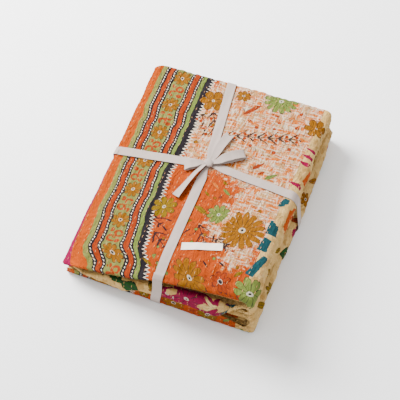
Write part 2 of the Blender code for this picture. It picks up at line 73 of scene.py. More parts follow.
# The right folds and the left one
ROLL_ROUNDNESS = 0.9
ROLL_PEAK = 0.86
UPPER_ROLL_REACH = ((0, 300), (200, 301), (381, 303))  # y, x of its outermost layer
LOWER_ROLL_REACH = ((0, 302), (100, 305), (215, 309), (345, 309), (381, 308))
UPPER_GROOVE = (0.30, 95.0, 22.0)  # depth, place and width in degrees of the groove along a roll
LOWER_GROOVE = (0.22, 100.0, 24.0)
TOP_HEMS = (0.0, 4.0, -1.0, 3.0)  # x of the left hem, layer by layer
BOTTOM_HEMS = (1.0, 5.0, 2.0, 4.0)
LEFT_FOLD, LEFT_SPREAD = 1.0, 1.05  # x of the left fold's outermost layer, and its step over the pitch
RIGHT_X, LEFT_X = 281.0, 12.0  # nominal x where the panels meet the right and the left folds

# Front edge of the outer layer: place along the strip, y where it turns, y of its hem, drop
FRONT_HEM = (
    (0.00, 3.0, -4.0, 3.0),
    (0.50, 3.0, -4.0, 6.0),
    (1.00, 3.0, -4.0, 8.0),
    (1.50, 3.0, -4.0, 14.0),
    (1.85, 5.0, 0.0, 5.0),
    (2.00, 8.0, 4.0, 1.5),
    (5.00, 8.0, 4.0, 1.5),
    (5.50, 5.0, -1.0, 12.0),
    (6.00, 4.0, -1.5, 17.0),
    (6.09, 4.0, -1.5, 27.0),
    (6.45, 4.0, -1.5, 40.0),
    (6.65, 4.0, -1.5, 20.0),
    (6.80, 4.0, -1.5, 20.0),
    (7.00, 4.0, -1.5, 15.0),
)
FRONT_ROUND = 0.85  # radius of the turn, as a share of the room for it
# The second panel's front flap: x, how far it stands out, how much it hangs, height of its tip
FRONT_FLAP = (
    (LEFT_X, 0.0, 0.0, 24),
    (24, 0.4, 0.0, 24),
    (40, 1.0, 0.0, 22),
    (56, 1.0, 0.5, 20),
    (75, 1.0, 1.0, 21),
    (102, 1.0, 1.0, 16),
    (123, 1.0, 1.0, 29),
    (152, 1.0, 1.0, 40),
    (190, 1.0, 1.0, 36),
    (225, 1.0, 1.0, 33),
    (240, 1.0, 1.0, 29),
    (256, 1.0, 0.6, 32),
    (266, 1.0, 0.2, 34),
    (274, 0.5, 0.0, 36),
    (RIGHT_X, 0.0, 0.0, 36),
)
FLAP_REACH = -8.0
FLAP_BULB = 0.7
# The flap's section round its tip: y, share of the way down to the tip, level where it isn't hanging
FLAP_SECTION = (
    (5.0, 0.00, 1.5),
    (-2.6, 0.00, 1.5),
    (-3.8, 0.40, 1.5),
    (-4.0, 0.93, 1.5),
    (-5.7, 1.00, 1.5),
    (-7.4, 0.92, 2.9),
    (-8.0, 0.50, 3.1),
    (-4.6, 0.00, 3.3),
    (5.0, 0.00, 2.5),
)
# Ends of the inner layers: place along the strip, y of the front fold, y of the last hem
INNER_FRONT = ((0, 1.0, 4.0), (1, 1.0, 4.0), (2, 2.0, 5.0), (4, 3.0, 6.0), (7, 3.0, 6.0))
# Back folds: place along the strip, y of the outer pair's fold, y of the inner pair's
BACK_FOLDS = (
    (0.0, 380.0, 377.0),
    (1.0, 379.0, 381.0),
    (1.6, 375.0, 379.0),
    (2.5, 379.0, 374.0),
    (3.5, 372.0, 376.0),
    (4.5, 379.0, 373.0),
    (5.5, 376.0, 380.0),
    (6.5, 380.0, 376.0),
    (7.0, 377.0, 380.0),
)

BACK_CORNER, BACK_SHARE = 13.0, 0.96  # radius of the back corners at the hems, and how much of it

# Marks in the outer layers
GROOVE_UNDER_TAPE = 2.4
GROOVE_FLAT, GROOVE_SLOPE = 6.0, 16.0
CLEAR_GAP = 0.6
RUN_ACROSS = ((0, 203), (153, 211), (310, 190))  # x, y of the tape on top
RUN_ALONG = ((0, 155), (211, 153), (381, 132))  # y, x of the tape on top
BASE_ACROSS = (168.0, 181.0, 212.0, 225.0)  # y where the base's dent starts, is full, ends
BASE_ALONG = (110.0, 124.0, 158.0, 172.0)
BASE_DENT = 1.3
EASE_ROWS = (5.0, 35.0, 300.0, 370.0)  # y where the base leaves the surface and lies on it
EASE_FROM, EASE_OVER = 255.0, 25.0  # x where it starts to leave it on the right, and how soon
EASE_OF_GAP, EASE_MOST = 0.6, 0.8  # how far it leaves it, as a share of the gap over it

# The flat cloth: its width at each place along the strip, panels and folds in turn
FLAT_WIDTH = 1270.0
FLAT_LENGTH = 1524.0
STAGES = np.arange(8)  # places where panels and folds meet
FLAT_AT_PLACE = (0.0, 283.0, 340.0, 611.0, 643.0, 920.0, 987.0, FLAT_WIDTH)

# The print's skew at the front left corner: x and the y where it starts, its length and its most
SKEW_START = ((0, 26), (25, 30), (49, 38), (76, 44), (103, 50), (140, 40), (283, 10))
SKEW_LENGTH = 36.0
SKEW_MOST = 20.0

# The cloth's unevenness, as tables of waves: height, width and length of a cell, seed. A height is
# in millimetres, or a share where it is multiplied by one
HEM_WAVES = ((0.9, 26.0, 1.0, 3),)  # of the hems at the left, to the side
HEM_FADE = 8.0  # how far in from the hem they reach
FRONT_WAVES = ((0.8, 31.0, 1.0, 5),)  # of the front edges, forwards
FRONT_FADE = 6.0
WANDER = ((2.2, 30.0, 24.0, 7),)  # of the gathers, along their row
GATHER_WAVES = ((0.45, 14.0, 19.0, 11),)  # of how deep the gathers are
GATHER_MEAN = 0.55
CRUMPLES = ((0.8, 8.0, 5.4, 13),)  # between the stitches
DRAPE_WAVES = ((1.0, 60.0, 46.0, 17), (0.8, 24.0, 19.0, 19))  # of the outer layers
PLEATS = ((3.4, 11.0, 52.0, 31),)  # of the right folds
PLEAT_WAVES = ((1.0, 9.0, 13.0, 37),)
PLEAT_SLANT = 0.35  # across for each step down
RIDGE_SHARE, GATHER_SHARE = 0.8, 0.5  # of the pucker height
ROW_PHASE = 2.4  # how much later the gathers of the next row start, in radians
CALM = (2.7, 4.5, 0.3, 0.7)  # the left folds: places from and to, over how much, and how much calmer
ROLL_STARTS, ROLL_EASE = (1.0, 5.0), 0.12  # places where the right folds start, and how soon
# Room for a rise besides the gap over the layer: least gap, on the top layer, on the right folds
LEAST_FREE, TOP_FREE, ROLL_FREE = 0.05, 1.2, 2.5
NEAR_FREE = 0.3  # part of the gap that stays free
BASE_SHARE = 0.25  # of a rise, which on the base goes inwards
FLOOR_GAP = 0.05  # least height of the cloth's lower face

# Steps of the cloth's grid
PANEL_STEPS = (106, 14, 34, 10, 8, 14, 50)  # along the strip, stage by stage
OUTER_STEPS = 130  # from front to back on the outer layer
INNER_STEPS = 5  # and on each inner one
BACK_STEPS = 8  # round a back fold
FLAP_STEPS = 24  # round the front flap
WRAP_STEPS = (7, 6, 2)  # down the front, round its corner and on to the panel
HEM_SHARES = (0.02, 0.06)  # close lines at the front hem, as shares of its drop
HEM_INSETS = (0.12, 0.45, 1.0)  # distances from a hem of the lines that round it

# The tape and its bow
TAPE_WIDTH = 15.0
KNOT_PLACE = (154.0, 210.0)
KNOT_REACH = 5.0  # from the knot's middle to the ends of the tape's runs, which lie under it
KNOT_TAPER = 26.0  # length over which a run is drawn in to its end
LEAN_HEIGHT = 60.0  # over this height the run along follows its line on top
LOWEST_TOP = 25.0  # no part of the cloth's top is lower at the tape
# x, y, height over the cloth, width and twist of each strip, from the knot outwards
LOOP_RIGHT = (
    (160.0, 212.8, 4.2, 6.0, 0),
    (165.5, 215.5, 5.0, 9.0, 0),
    (172.0, 220.5, 7.0, 13.0, 6),
    (182.0, 228.5, 8.0, 15.0, 8),
    (193.0, 236.5, 7.0, 15.0, 6),
    (199.5, 241.5, 5.0, 15.0, 4),
    (201.2, 242.8, 3.0, 15.0, 2),
    (199.0, 241.0, 1.2, 15.0, 0),
    (190.0, 234.0, 1.0, 15.0, 0),
    (180.0, 226.5, 1.2, 14.0, 0),
    (171.0, 219.5, 1.6, 10.0, 0),
    (165.5, 216.2, 2.0, 8.0, 0),
    (160.0, 213.2, 2.4, 6.0, 0),
)
LOOP_LEFT = (
    (148.0, 208.6, 4.4, 6.0, 0),
    (142.5, 207.0, 5.2, 9.0, 0),
    (137.0, 203.5, 6.2, 13.0, 0),
    (129.0, 199.5, 6.6, 15.0, 0),
    (121.5, 196.5, 5.0, 15.0, 0),
    (119.8, 196.0, 3.2, 15.0, 0),
    (122.0, 197.0, 1.5, 15.0, 0),
    (130.0, 200.5, 1.9, 15.0, 0),
    (138.5, 204.5, 2.3, 11.0, 0),
    (143.0, 206.5, 2.4, 8.0, 0),
    (148.0, 208.2, 2.6, 6.0, 0),
)
END_UP = (
    (155.3, 214.5, 3.8, 6.0, 0),
    (156.5, 219.5, 3.2, 8.0, 0),
    (158.0, 230.0, 3.4, 12.0, -4),
    (160.0, 246.0, 3.0, 15.0, -4),
    (163.5, 262.0, 2.6, 15.0, 0),
    (167.0, 276.0, 2.2, 15.0, 0),
)
END_DOWN = (
    (150.3, 205.5, 4.4, 5.5, 10),
    (147.5, 200.0, 4.0, 7.0, 20),
    (142.0, 186.0, 4.0, 9.5, 32),
    (137.0, 169.0, 3.6, 11.5, 34),
    (132.0, 152.0, 3.2, 12.5, 26),
    (128.0, 137.0, 2.4, 13.0, 12),
)

KNOT_SIZE = (17.0, 15.0, 8.0)
KNOT_ASKEW = 35.0
KNOT_STEPS = (72, 34)  # round the knot, and from top to bottom
KNOT_REST = 0.4  # gap between the knot and the cloth
KNOT_SIZES = (0.86, 0.13)  # its size beside its band, and how much more on it, as shares
KNOT_BAND = (0.42, 0.16)  # half width of its band, and how soon it ends
KNOT_SQUARE = 0.9  # power that makes the ball a little square
KNOT_FOLDS = ((0.035, 15.0, 2.0), (0.015, 31.0, -1.0))  # height, folds along the band and their slant
KNOT_FLUTES = (0.07, 4.0, 0.9)  # height, number round the knot and turn
TAPE_BESIDE = 4.0  # the cloth this far beside the tape holds it off too
TAPE_GAP = 0.25  # gap between the cloth and the tape round the sides
TAPE_EASE = 7  # points over which the tape on top evens out the puckers
TAPE_SINK = 0.15  # how far it then may sink into its gap
SIDE_STEP = 2.0  # from one point of the tape to the next round the sides
DENT_HEIGHT = 6.0  # under this height the tape is lifted into the base's dent
REST = 0.2  # gap between the cloth and a strip that lies on it
BOW_REST = 0.3
BOW_STEPS = 12  # from one row of a table to the next
LIE_REACH = 5.0  # a loop, an end or the knot rests on the highest cloth within this reach
UNDER_RUNS = ((203, 190), (148, 134))  # y and x of the tape's runs under the base, from end to end
SIDE_HEIGHT = 15.0  # under this height the run across follows its line under the base
STRIP_LINES = 9  # lines across a strip
STRIP_INSETS, STRIP_ROUND = (0.1, 0.3), 0.45  # close lines at a strip's edges, and how wide they round
TOP_STEPS = 60  # steps from the knot to an edge of the bundle

# The label
LABEL_CENTRE = (199.0, 60.0)
LABEL_SIZE = (60.0, 13.0)
LABEL_TURN = 13.5
LABEL_STEPS = (49, 13)
LABEL_REACH, LABEL_EASE, LABEL_SINK, LABEL_REST = 2.5, 9, 0.2, 0.95  # as LIE_REACH and the tape's
LABEL_WAVE = (0.35, 37.0, 0.6)  # height, length and start of its wave
LABEL_THICK = 0.5

# The print. Places are across and down the flat cloth, as flat_place gives them, and the far hem's
# border is the near one's, mirrored about the cloth's middle and set further in.
BORDER_SHIFT = 8.5
DAISY_ACROSS = 52.6  # place of the daisies and scrolls in the table of stripes
DAISY = (14.5, 9, 0.2, "mustard")  # radius, petals, eye's share and colour
DAISY_PITCH = 56.5
DAISY_STARTS = (-30.0, -10.0)  # how far down the first one is, on the near and on the far side
BORDER_EDGE = 18.0  # where the stripes start in the table below, and how wide they are in it
BORDER_WIDTH = 83.0
# The same on the cloth, which was not printed evenly: down, start, width
BORDER = (
    (0, 19, 100),
    (60, 19, 98),
    (120, 18, 92),
    (180, 16, 90),
    (240, 14, 94),
    (300, 13, 94),
    (381, 13, 91),
)
BORDER_FADE = (125.0, 60.0)  # how far in it gives way to the plain distance, and over how much
BORDER_SWING = ((1.8, 44.0, 1.0, 51), (1.5, 12.0, 1.0, 53))  # waves of its stripes to the side
# Edges of the border's stripes, in from the hem, and the colour that starts there
STRIPES = (
    (0.0, "orange"),
    (18.0, "band"),
    (24.3, "slate"),
    (29.6, "coral"),
    (35.8, "slate"),
    (41.2, "band"),
    (64.0, "slate"),
    (69.4, "coral"),
    (75.8, "slate"),
    (81.2, "leaf_pale"),
    (87.0, "slate"),
)
CHAIN_CENTRES = (26.9, 38.5, 66.7, 78.5)
CHAIN_WIDTH = 0.7  # half width of its dashes
CHAIN_PITCH = 4.9
SCROLLS = ((-4.0, -5.5, 4.6), (4.2, 4.5, 4.8), (5.5, -9.0, 2.0), (-6.0, 9.5, 2.0))  # x, y, radius
SCROLL_LINE, SCROLL_BAND = 1.7, 10.5  # half widths of a scroll's line and of the band they fill
TEETH = (94.0, 100.0, 6.0)  # where the saw teeth start and end, and their pitch
PRINT_EDGE = 283.0  # the seam between the printed end and the cream middle
STRIPES_SPAN = 128.0

# Flowers: across, down, radius, petals, eye's share, colour
FLOWERS = (
    (113, 337, 21, 6, 0.12, "mustard"),
    (155, 362, 12, 7, 0.2, "mustard"),
    (214, 373, 27, 13, 0.14, "leaf_pale"),
    (117, 118, 20, 8, 0.15, "mustard_dull"),
    (202, 123, 18, 9, 0.15, "leaf_pale"),
    (245, 105, 34, 15, 0.15, "mustard"),
    (190, 8, 28, 12, 0.15, "mustard"),
    (245, 12, 16, 8, 0.25, "coral"),
    (290, 6, 25, 10, 0.15, "leaf_pale"),
    (142, 13, 12, 7, 0.2, "leaf_pale"),
    (283, 337, 19, 6, 0.1, "mustard"),
    (322, 300, 13, 7, 0.2, "mustard_dull"),
    (318, 60, 14, 8, 0.2, "mustard_dull"),
    (330, 205, 11, 7, 0.2, "coral"),
    (1174, -20, 10, 6, 0.2, "leaf_pale"),
    (1094, -18, 18, 10, 0.22, "mustard"),
    (1142, -14, 9, 5, 0.15, "mustard_dull"),
    (1040, -16, 16, 9, 0.22, "mustard_dull"),
    (985, 12, 19, 9, 0.2, "leaf_pale"),
    (948, 60, 13, 8, 0.2, "mustard_dull"),
    (938, 230, 12, 7, 0.2, "mustard"),
    (962, 315, 14, 8, 0.2, "leaf_pale"),
)
# Round dots: across, down, radius, colour
DOTS = (
    (218, 340, 3.2, "coral"),
    (252, 357, 3.0, "coral"),
    (226, 327, 2.6, "coral"),
    (255, 326, 3.4, "coral"),
    (196, 305, 3.0, "coral"),
    (182, 315, 2.6, "coral"),
    (258, 278, 3.0, "coral"),
    (238, 265, 3.4, "coral"),
    (200, 266, 2.8, "coral"),
    (223, 311, 2.6, "coral"),
    (117, 249, 3.6, "mustard"),
    (112, 308, 2.6, "mustard"),
    (102, 293, 2.6, "coral"),
    (130, 290, 2.8, "mustard"),
    (126, 268, 2.6, "coral"),
    (210, 95, 2.8, "coral"),
    (257, 146, 3.2, "mustard"),
    (245, 66, 3.0, "coral"),
    (186, 150, 2.6, "mustard"),
    (180, 88, 2.8, "leaf_pale"),
    (196, 82, 2.8, "mustard"),
    (183, 64, 2.6, "leaf_pale"),
    (139, 62, 2.6, "mustard"),
    (137, 46, 2.6, "leaf_pale"),
    (163, 52, 2.8, "mustard"),
    (225, 45, 2.6, "leaf_pale"),
    (262, 40, 2.8, "mustard"),
)
# Leaves: from across, down, to across, down, half width, colour
LEAVES = (
    (167, 324, 188, 354, 4.0, "coral"),
    (217, 220, 232, 240, 3.2, "coral"),
    (228, 214, 242, 226, 3.0, "coral"),
    (240, 208, 259, 224, 3.6, "leaf_pale"),
    (160, 131, 187, 117, 4.2, "mustard_dull"),
    (150, 96, 170, 104, 3.0, "mustard_dull"),
    (163, 76, 173, 87, 1.3, "slate"),
    (127, 97, 141, 94, 1.3, "slate"),
    (128, 84, 140, 74, 1.3, "slate"),
    (209, 89, 212, 70, 1.2, "slate"),
    (219, 76, 238, 70, 1.2, "slate"),
    (152, 62, 160, 48, 1.2, "slate"),
    (233, 42, 246, 34, 1.3, "slate"),
    (210, 38, 222, 28, 1.3, "slate"),
    (150, 26, 164, 34, 3.0, "mustard_dull"),
    (262, 24, 272, 36, 3.0, "mustard_dull"),
    (170, 180, 187, 167, 2.6, "coral_pale"),
    (190, 172, 207, 160, 2.6, "leaf_pale"),
    (182, 187, 197, 178, 2.2, "mustard_dull"),
    (166, 160, 178, 150, 2.0, "mustard_dull"),
    (122, 24, 138, 34, 3.0, "leaf_pale"),
    (128, 14, 108, 26, 3.0, "mustard_dull"),
    (294, 332, 302, 318, 1.6, "leaf"),
    (306, 240, 326, 262, 5.0, "leaf"),
    (308, 96, 324, 116, 4.0, "mustard_dull"),
    (312, 165, 330, 182, 3.5, "coral"),
    (306, 20, 322, 36, 4.0, "leaf"),
    (934, 118, 972, 150, 11.0, "leaf"),
    (930, 22, 952, 36, 5.0, "mustard_dull"),
    (930, 262, 958, 282, 5.0, "mustard"),
    (925, 178, 950, 196, 4.0, "coral"),
    (1122, -24, 1108, -8, 3.0, "coral"),
    (1070, -8, 1056, -20, 3.2, "coral"),
    (1015, -12, 1004, -26, 3.4, "leaf_pale"),
)
# Patches: across, down, turn, half length, half width, taper, colour
PATCHES = (
    (285, 170, 80, 13, 7, 0.5, "teal"),
    (285, 126, 95, 16, 8, 0.4, "teal"),
    (284, 91, 85, 12, 7, 0.3, "teal"),
    (286, 52, 75, 20, 6, 0.5, "teal"),
    (290, 290, 170, 9, 6, 0.9, "magenta"),
    (289, 275, 175, 9, 6, 0.9, "magenta"),
    (288, 260, 170, 9, 6, 0.9, "magenta"),
    (288, 215, 175, 10, 6, 0.9, "magenta"),
    (322, 137, 95, 6, 8, 0.2, "magenta"),
    (326, 235, 80, 5, 6, 0.3, "magenta"),
    (303, 152, 98, 26, 9, 0.4, "orange"),
    (301, 238, 85, 16, 5, 0.5, "orange"),
    (952, 345, 90, 7, 6, 0.2, "magenta"),
    (950, 172, 90, 8, 9, 0.2, "magenta"),
    (950, 95, 85, 6, 7, 0.3, "brick"),
)
# Sprigs: from across, down, to across, down
SPRIGS = (
    (158, 274, 268, 304),
    (106, 304, 129, 270),
    (122, 314, 142, 268),
    (182, 96, 206, 60),
    (122, 70, 146, 48),
    (108, 96, 126, 84),
    (214, 78, 238, 70),
)
# Where the ground is worn pale: across, down, radius across, radius down
PALE = (
    (215, 340, 110, 95),
    (160, 300, 85, 100),
    (238, 240, 75, 60),
    (240, 108, 48, 46),
    (262, 160, 50, 60),
    (255, 62, 22, 26),
)
PALE_OUTSIDE = 40.0  # no point counts as further outside than this
# The same on the reverse, whose ground is cream
BACK_FLOWERS = (
    (420, 812, 34, 9, 0.12, "magenta"),
    (386, 800, 22, 7, 0.15, "magenta"),
    (450, 800, 20, 8, 0.15, "magenta"),
    (560, 800, 12, 7, 0.2, "mustard_dull"),
    (352, 790, 16, 8, 0.2, "teal"),
)
BACK_DOTS = ((476, 792, 3.0, "mustard"), (540, 782, 2.6, "coral"))
BACK_LEAVES = (
    (495, 782, 524, 812, 9.0, "leaf"),
    (527, 808, 546, 796, 4.0, "leaf"),
    (482, 812, 470, 786, 3.5, "mustard_dull"),
    (372, 822, 394, 840, 5.0, "cream"),
    (376, 806, 398, 812, 4.5, "cream"),
)
BACK_PATCHES = (
    (405, 836, 4, 46, 9, 0.2, "magenta"),
    (358, 820, 20, 10, 8, 0.8, "magenta"),
)
LINING = ((-20, 8.0), (10, 7.0), (40, 4.5), (90, 3.2), (150, 2.4), (205, 1.0), (225, 0.0))  # y, width shown

# Motifs are drawn within this margin of their outline, and not this near to a tie with another
MOTIF_MARGIN = 5.0
MOTIF_TIE = 4.0
OUTLINE, OUTLINE_MOST = 1.2, 0.2  # width of a flower's outline, and its most as a share of the radius
FLOWER_TURN = 1.7  # makes each flower's turn, with its place
SPRIG_REACH, SPRIG_PAST = 14.0, 2.0  # to both sides of a sprig's stem, and past its ends

# Where stitches show: side of the cloth, and how far across and down the flat cloth they run
STITCHED = (
    (1, 6.0, 338.0, -6.0, 381.0),
    (1, 925.0, 1268.0, -34.0, 6.0),
    (1, 925.0, 990.0, 6.0, 381.0),
    (-1, 352.0, 600.0, 786.0, 840.0),
)

STITCH_STEPS = (7, 6)  # rings along a stitch, and points round it
STITCHES_LEFT = 0.55  # stitches whose random number from -1 to 1 is over this are worn away
STITCH_JITTER, STITCH_SHIFT = 0.16, 0.37  # shares of the pitch: at random, and from row to row
STITCH_LONGER = 0.4  # how much longer or shorter one is at random, as a share
STITCH_HIGH = 1.7  # height of its arc over its sunk ends, in radii
STITCH_THINNER = 0.45  # how much thinner its ends are, as a share

# The stage
FLOOR_SIZE = 8.0
SKY_STRENGTH = 1.42
# Name, size, power, place and tilt of each lamp
LAMPS = (("key", 1.4, 220.0, (-1.5, 0.6, 1.45), (18.0, -43.0, 0.0)),)
LENS, SENSOR = 90.0, 36.0
VIEW = (20.5, 57.3, 1.566)  # azimuth, elevation and distance
VIEW_TARGET = (152.8, 175.4, 28.3)

# Small helpers


def column(table, k):
    """One named column of a short table, as an array."""
    return np.array([row[k] for row in table], float)


def read(table, at, k=1):
    """The table's column k at a place, straight between its rows."""
    return np.interp(at, column(table, 0), column(table, k))


def smooth(t):
    """0 to 1 with level ends: three t squared less two t cubed."""
    t = np.clip(t, 0.0, 1.0)
    return t * t * (3.0 - 2.0 * t)


def through(table, at):
    """A smooth curve through a table's rows, at fractions of a row: each column is a cubic whose
    slope at a row is half the step from the row before to the row after."""
    rows = np.array(table, float)
    last = len(rows) - 1
    k = np.clip(np.floor(at).astype(int), 0, last - 1)
    t = (at - k)[:, None]
    before, here = rows[np.maximum(k - 1, 0)], rows[k]
    after, beyond = rows[k + 1], rows[np.minimum(k + 2, last)]
    first, second = 0.5 * (after - before), 0.5 * (beyond - here)
    return (
        here * (2 * t**3 - 3 * t**2 + 1)
        + first * (t**3 - 2 * t**2 + t)
        + after * (3 * t**2 - 2 * t**3)
        + second * (t**3 - t**2)
    )


def rumple(x, y, wide, long, seed):
    """Uneven waves from -1 to 1: fixed random heights on a lattice of cells wide by long, joined by
    smooth steps."""
    gx, gy = x / wide, y / long
    ix, iy = np.floor(gx), np.floor(gy)
    fx, fy = smooth(gx - ix), smooth(gy - iy)

    def corner(i, j):
        """A fixed random height for each corner: the fraction of a large sine."""
        s = np.sin((ix + i) * 127.1 + (iy + j) * 311.7 + seed * 74.7) * 43758.5453
        return 2.0 * (s - np.floor(s)) - 1.0

    near = corner(0, 0) * (1.0 - fx) + corner(1, 0) * fx
    far = corner(0, 1) * (1.0 - fx) + corner(1, 1) * fx
    return near * (1.0 - fy) + far * fy


def uneven(table, x, y):
    """Sum of a table's uneven waves, each times its height."""
    return sum(high * rumple(x, y, wide, long, seed) for high, wide, long, seed in table)


# The bundle's form


def height(x, y):
    """Height of the bundle: front and back profiles joined by straight lines, with a soft rise
    behind the crease that runs along the front edge."""
    back = np.clip(y / FOLD_DEPTH, 0.0, 1.0)
    rise = read(CREASE_RISE, x) * smooth(y / CREASE_DEPTH)
    return (read(FRONT_HEIGHT, x) + rise) * (1.0 - back) + read(BACK_HEIGHT, x) * back


def pitch(x, y):
    """Distance from one layer to the next."""
    return (height(x, y) - SHEET) / (BASE_LEVEL - TOP_LEVEL)


def plateau(at, edges):
    """1 between the two inner edges, 0 outside the outer ones."""
    return np.interp(at, edges, (0.0, 1.0, 1.0, 0.0))


def marks_on_top(x, y):
    """How far the tape's two runs press the top layer down."""
    spare = np.clip(pitch(x, y) - SHEET - CLEAR_GAP, 0.0, None)
    across = 1.0 - smooth((np.abs(y - read(RUN_ACROSS, x)) - GROOVE_FLAT) / GROOVE_SLOPE)
    along = 1.0 - smooth((np.abs(x - read(RUN_ALONG, y)) - GROOVE_FLAT) / GROOVE_SLOPE)
    return np.minimum(spare, GROOVE_UNDER_TAPE * np.maximum(across, along))


def marks_on_base(x, y):
    """How far the base is off the surface: where the tape passes under it, and near its folds."""
    dent = BASE_DENT * (plateau(y, BASE_ACROSS) + plateau(x, BASE_ALONG))
    ease = np.clip(EASE_OF_GAP * (pitch(x, y) - SHEET), 0.0, EASE_MOST)
    folds = np.maximum(1.0 - plateau(y, EASE_ROWS), smooth((x - EASE_FROM) / EASE_OVER))
    return dent + ease * folds


def level_height(x, y, level):
    """Height of the sheet's middle at a level, 0.5 at the top layer and 15.5 at the base: evenly
    spaced layers, and the marks in the outermost layers alone."""
    share = (BASE_LEVEL - level) / (BASE_LEVEL - TOP_LEVEL)
    z = SHEET / 2.0 + (height(x, y) - SHEET) * share
    z = z - marks_on_top(x, y) * np.clip(TOP_LEVEL + 1.0 - level, 0.0, 1.0)
    return z + marks_on_base(x, y) * np.clip(level - BASE_LEVEL + 1.0, 0.0, 1.0)


def roll_start(reach, y):
    """Where a right fold leaves its panel, and how far it stands out for each level."""
    step = ROLL_ROUNDNESS * pitch(RIGHT_X, y)
    return read(reach, y) - ROLL_PEAK * (PACKET - 0.5) * step, step


def grooved(angle, groove):
    """A roll's reach with one soft groove along it."""
    depth, place, width = groove
    return 1.0 - depth * np.exp(-(((np.degrees(angle) - place) / width) ** 2))


def packet_place(place, y, depth):
    """x and level of a point of the packet.

    place is 0 to 7: top panel, upper roll, second panel, left fold, third panel, lower roll,
    bottom panel. depth is 0 to 4 through the packet. A panel's x runs straight from one end to
    the other, and a fold is half a turn about the packet's inner side.
    """
    stage = np.minimum(np.floor(place), 6.0)
    share = place - stage
    angle = math.pi * share
    first, first_step = roll_start(UPPER_ROLL_REACH, y)
    second, second_step = roll_start(LOWER_ROLL_REACH, y)
    left_step = LEFT_SPREAD * pitch(0.0, y)
    left = LEFT_FOLD + (PACKET - 0.5) * left_step
    layer = np.arange(PACKET) + 0.5
    hem_top = np.interp(depth, layer, TOP_HEMS)
    hem_bottom = np.interp(depth, layer, BOTTOM_HEMS)
    inner = PACKET - depth
    places = (
        (hem_top + (first - hem_top) * share, depth),
        (
            first + first_step * inner * np.sin(angle) * grooved(angle, UPPER_GROOVE),
            PACKET - inner * np.cos(angle),
        ),
        (first + (left - first) * share, 2 * PACKET - depth),
        (left - left_step * depth * np.sin(angle), 2 * PACKET - depth * np.cos(angle)),
        (left + (second - left) * share, 2 * PACKET + depth),
        (
            second + second_step * inner * np.sin(angle) * grooved(angle, LOWER_GROOVE),
            3 * PACKET - inner * np.cos(angle),
        ),
        (second + (hem_bottom - second) * share, 4 * PACKET - depth),
    )
    x, level = np.zeros(depth.shape), np.zeros(depth.shape)
    for k, (x_here, level_here) in enumerate(places):
        x = np.where(stage == k, x_here, x)
        level = np.where(stage == k, level_here, level)
    return x, level


def strip_places():
    """The grid's columns, as places 0 to 7 along the strip, with close lines at both hems."""
    parts = [stage + np.arange(steps) / steps for stage, steps in enumerate(PANEL_STEPS)]
    place = np.concatenate(parts + [np.array([7.0])])
    close = np.array(HEM_INSETS) / RIGHT_X
    return np.sort(np.concatenate([place, close, 7.0 - close]))


def nominal_x(place):
    """x of each column at mid depth, for what depends on the place across the bundle."""
    ends = (0.0, RIGHT_X, RIGHT_X, LEFT_X, LEFT_X, RIGHT_X, RIGHT_X, 0.0)
    return np.interp(place, STAGES, ends)


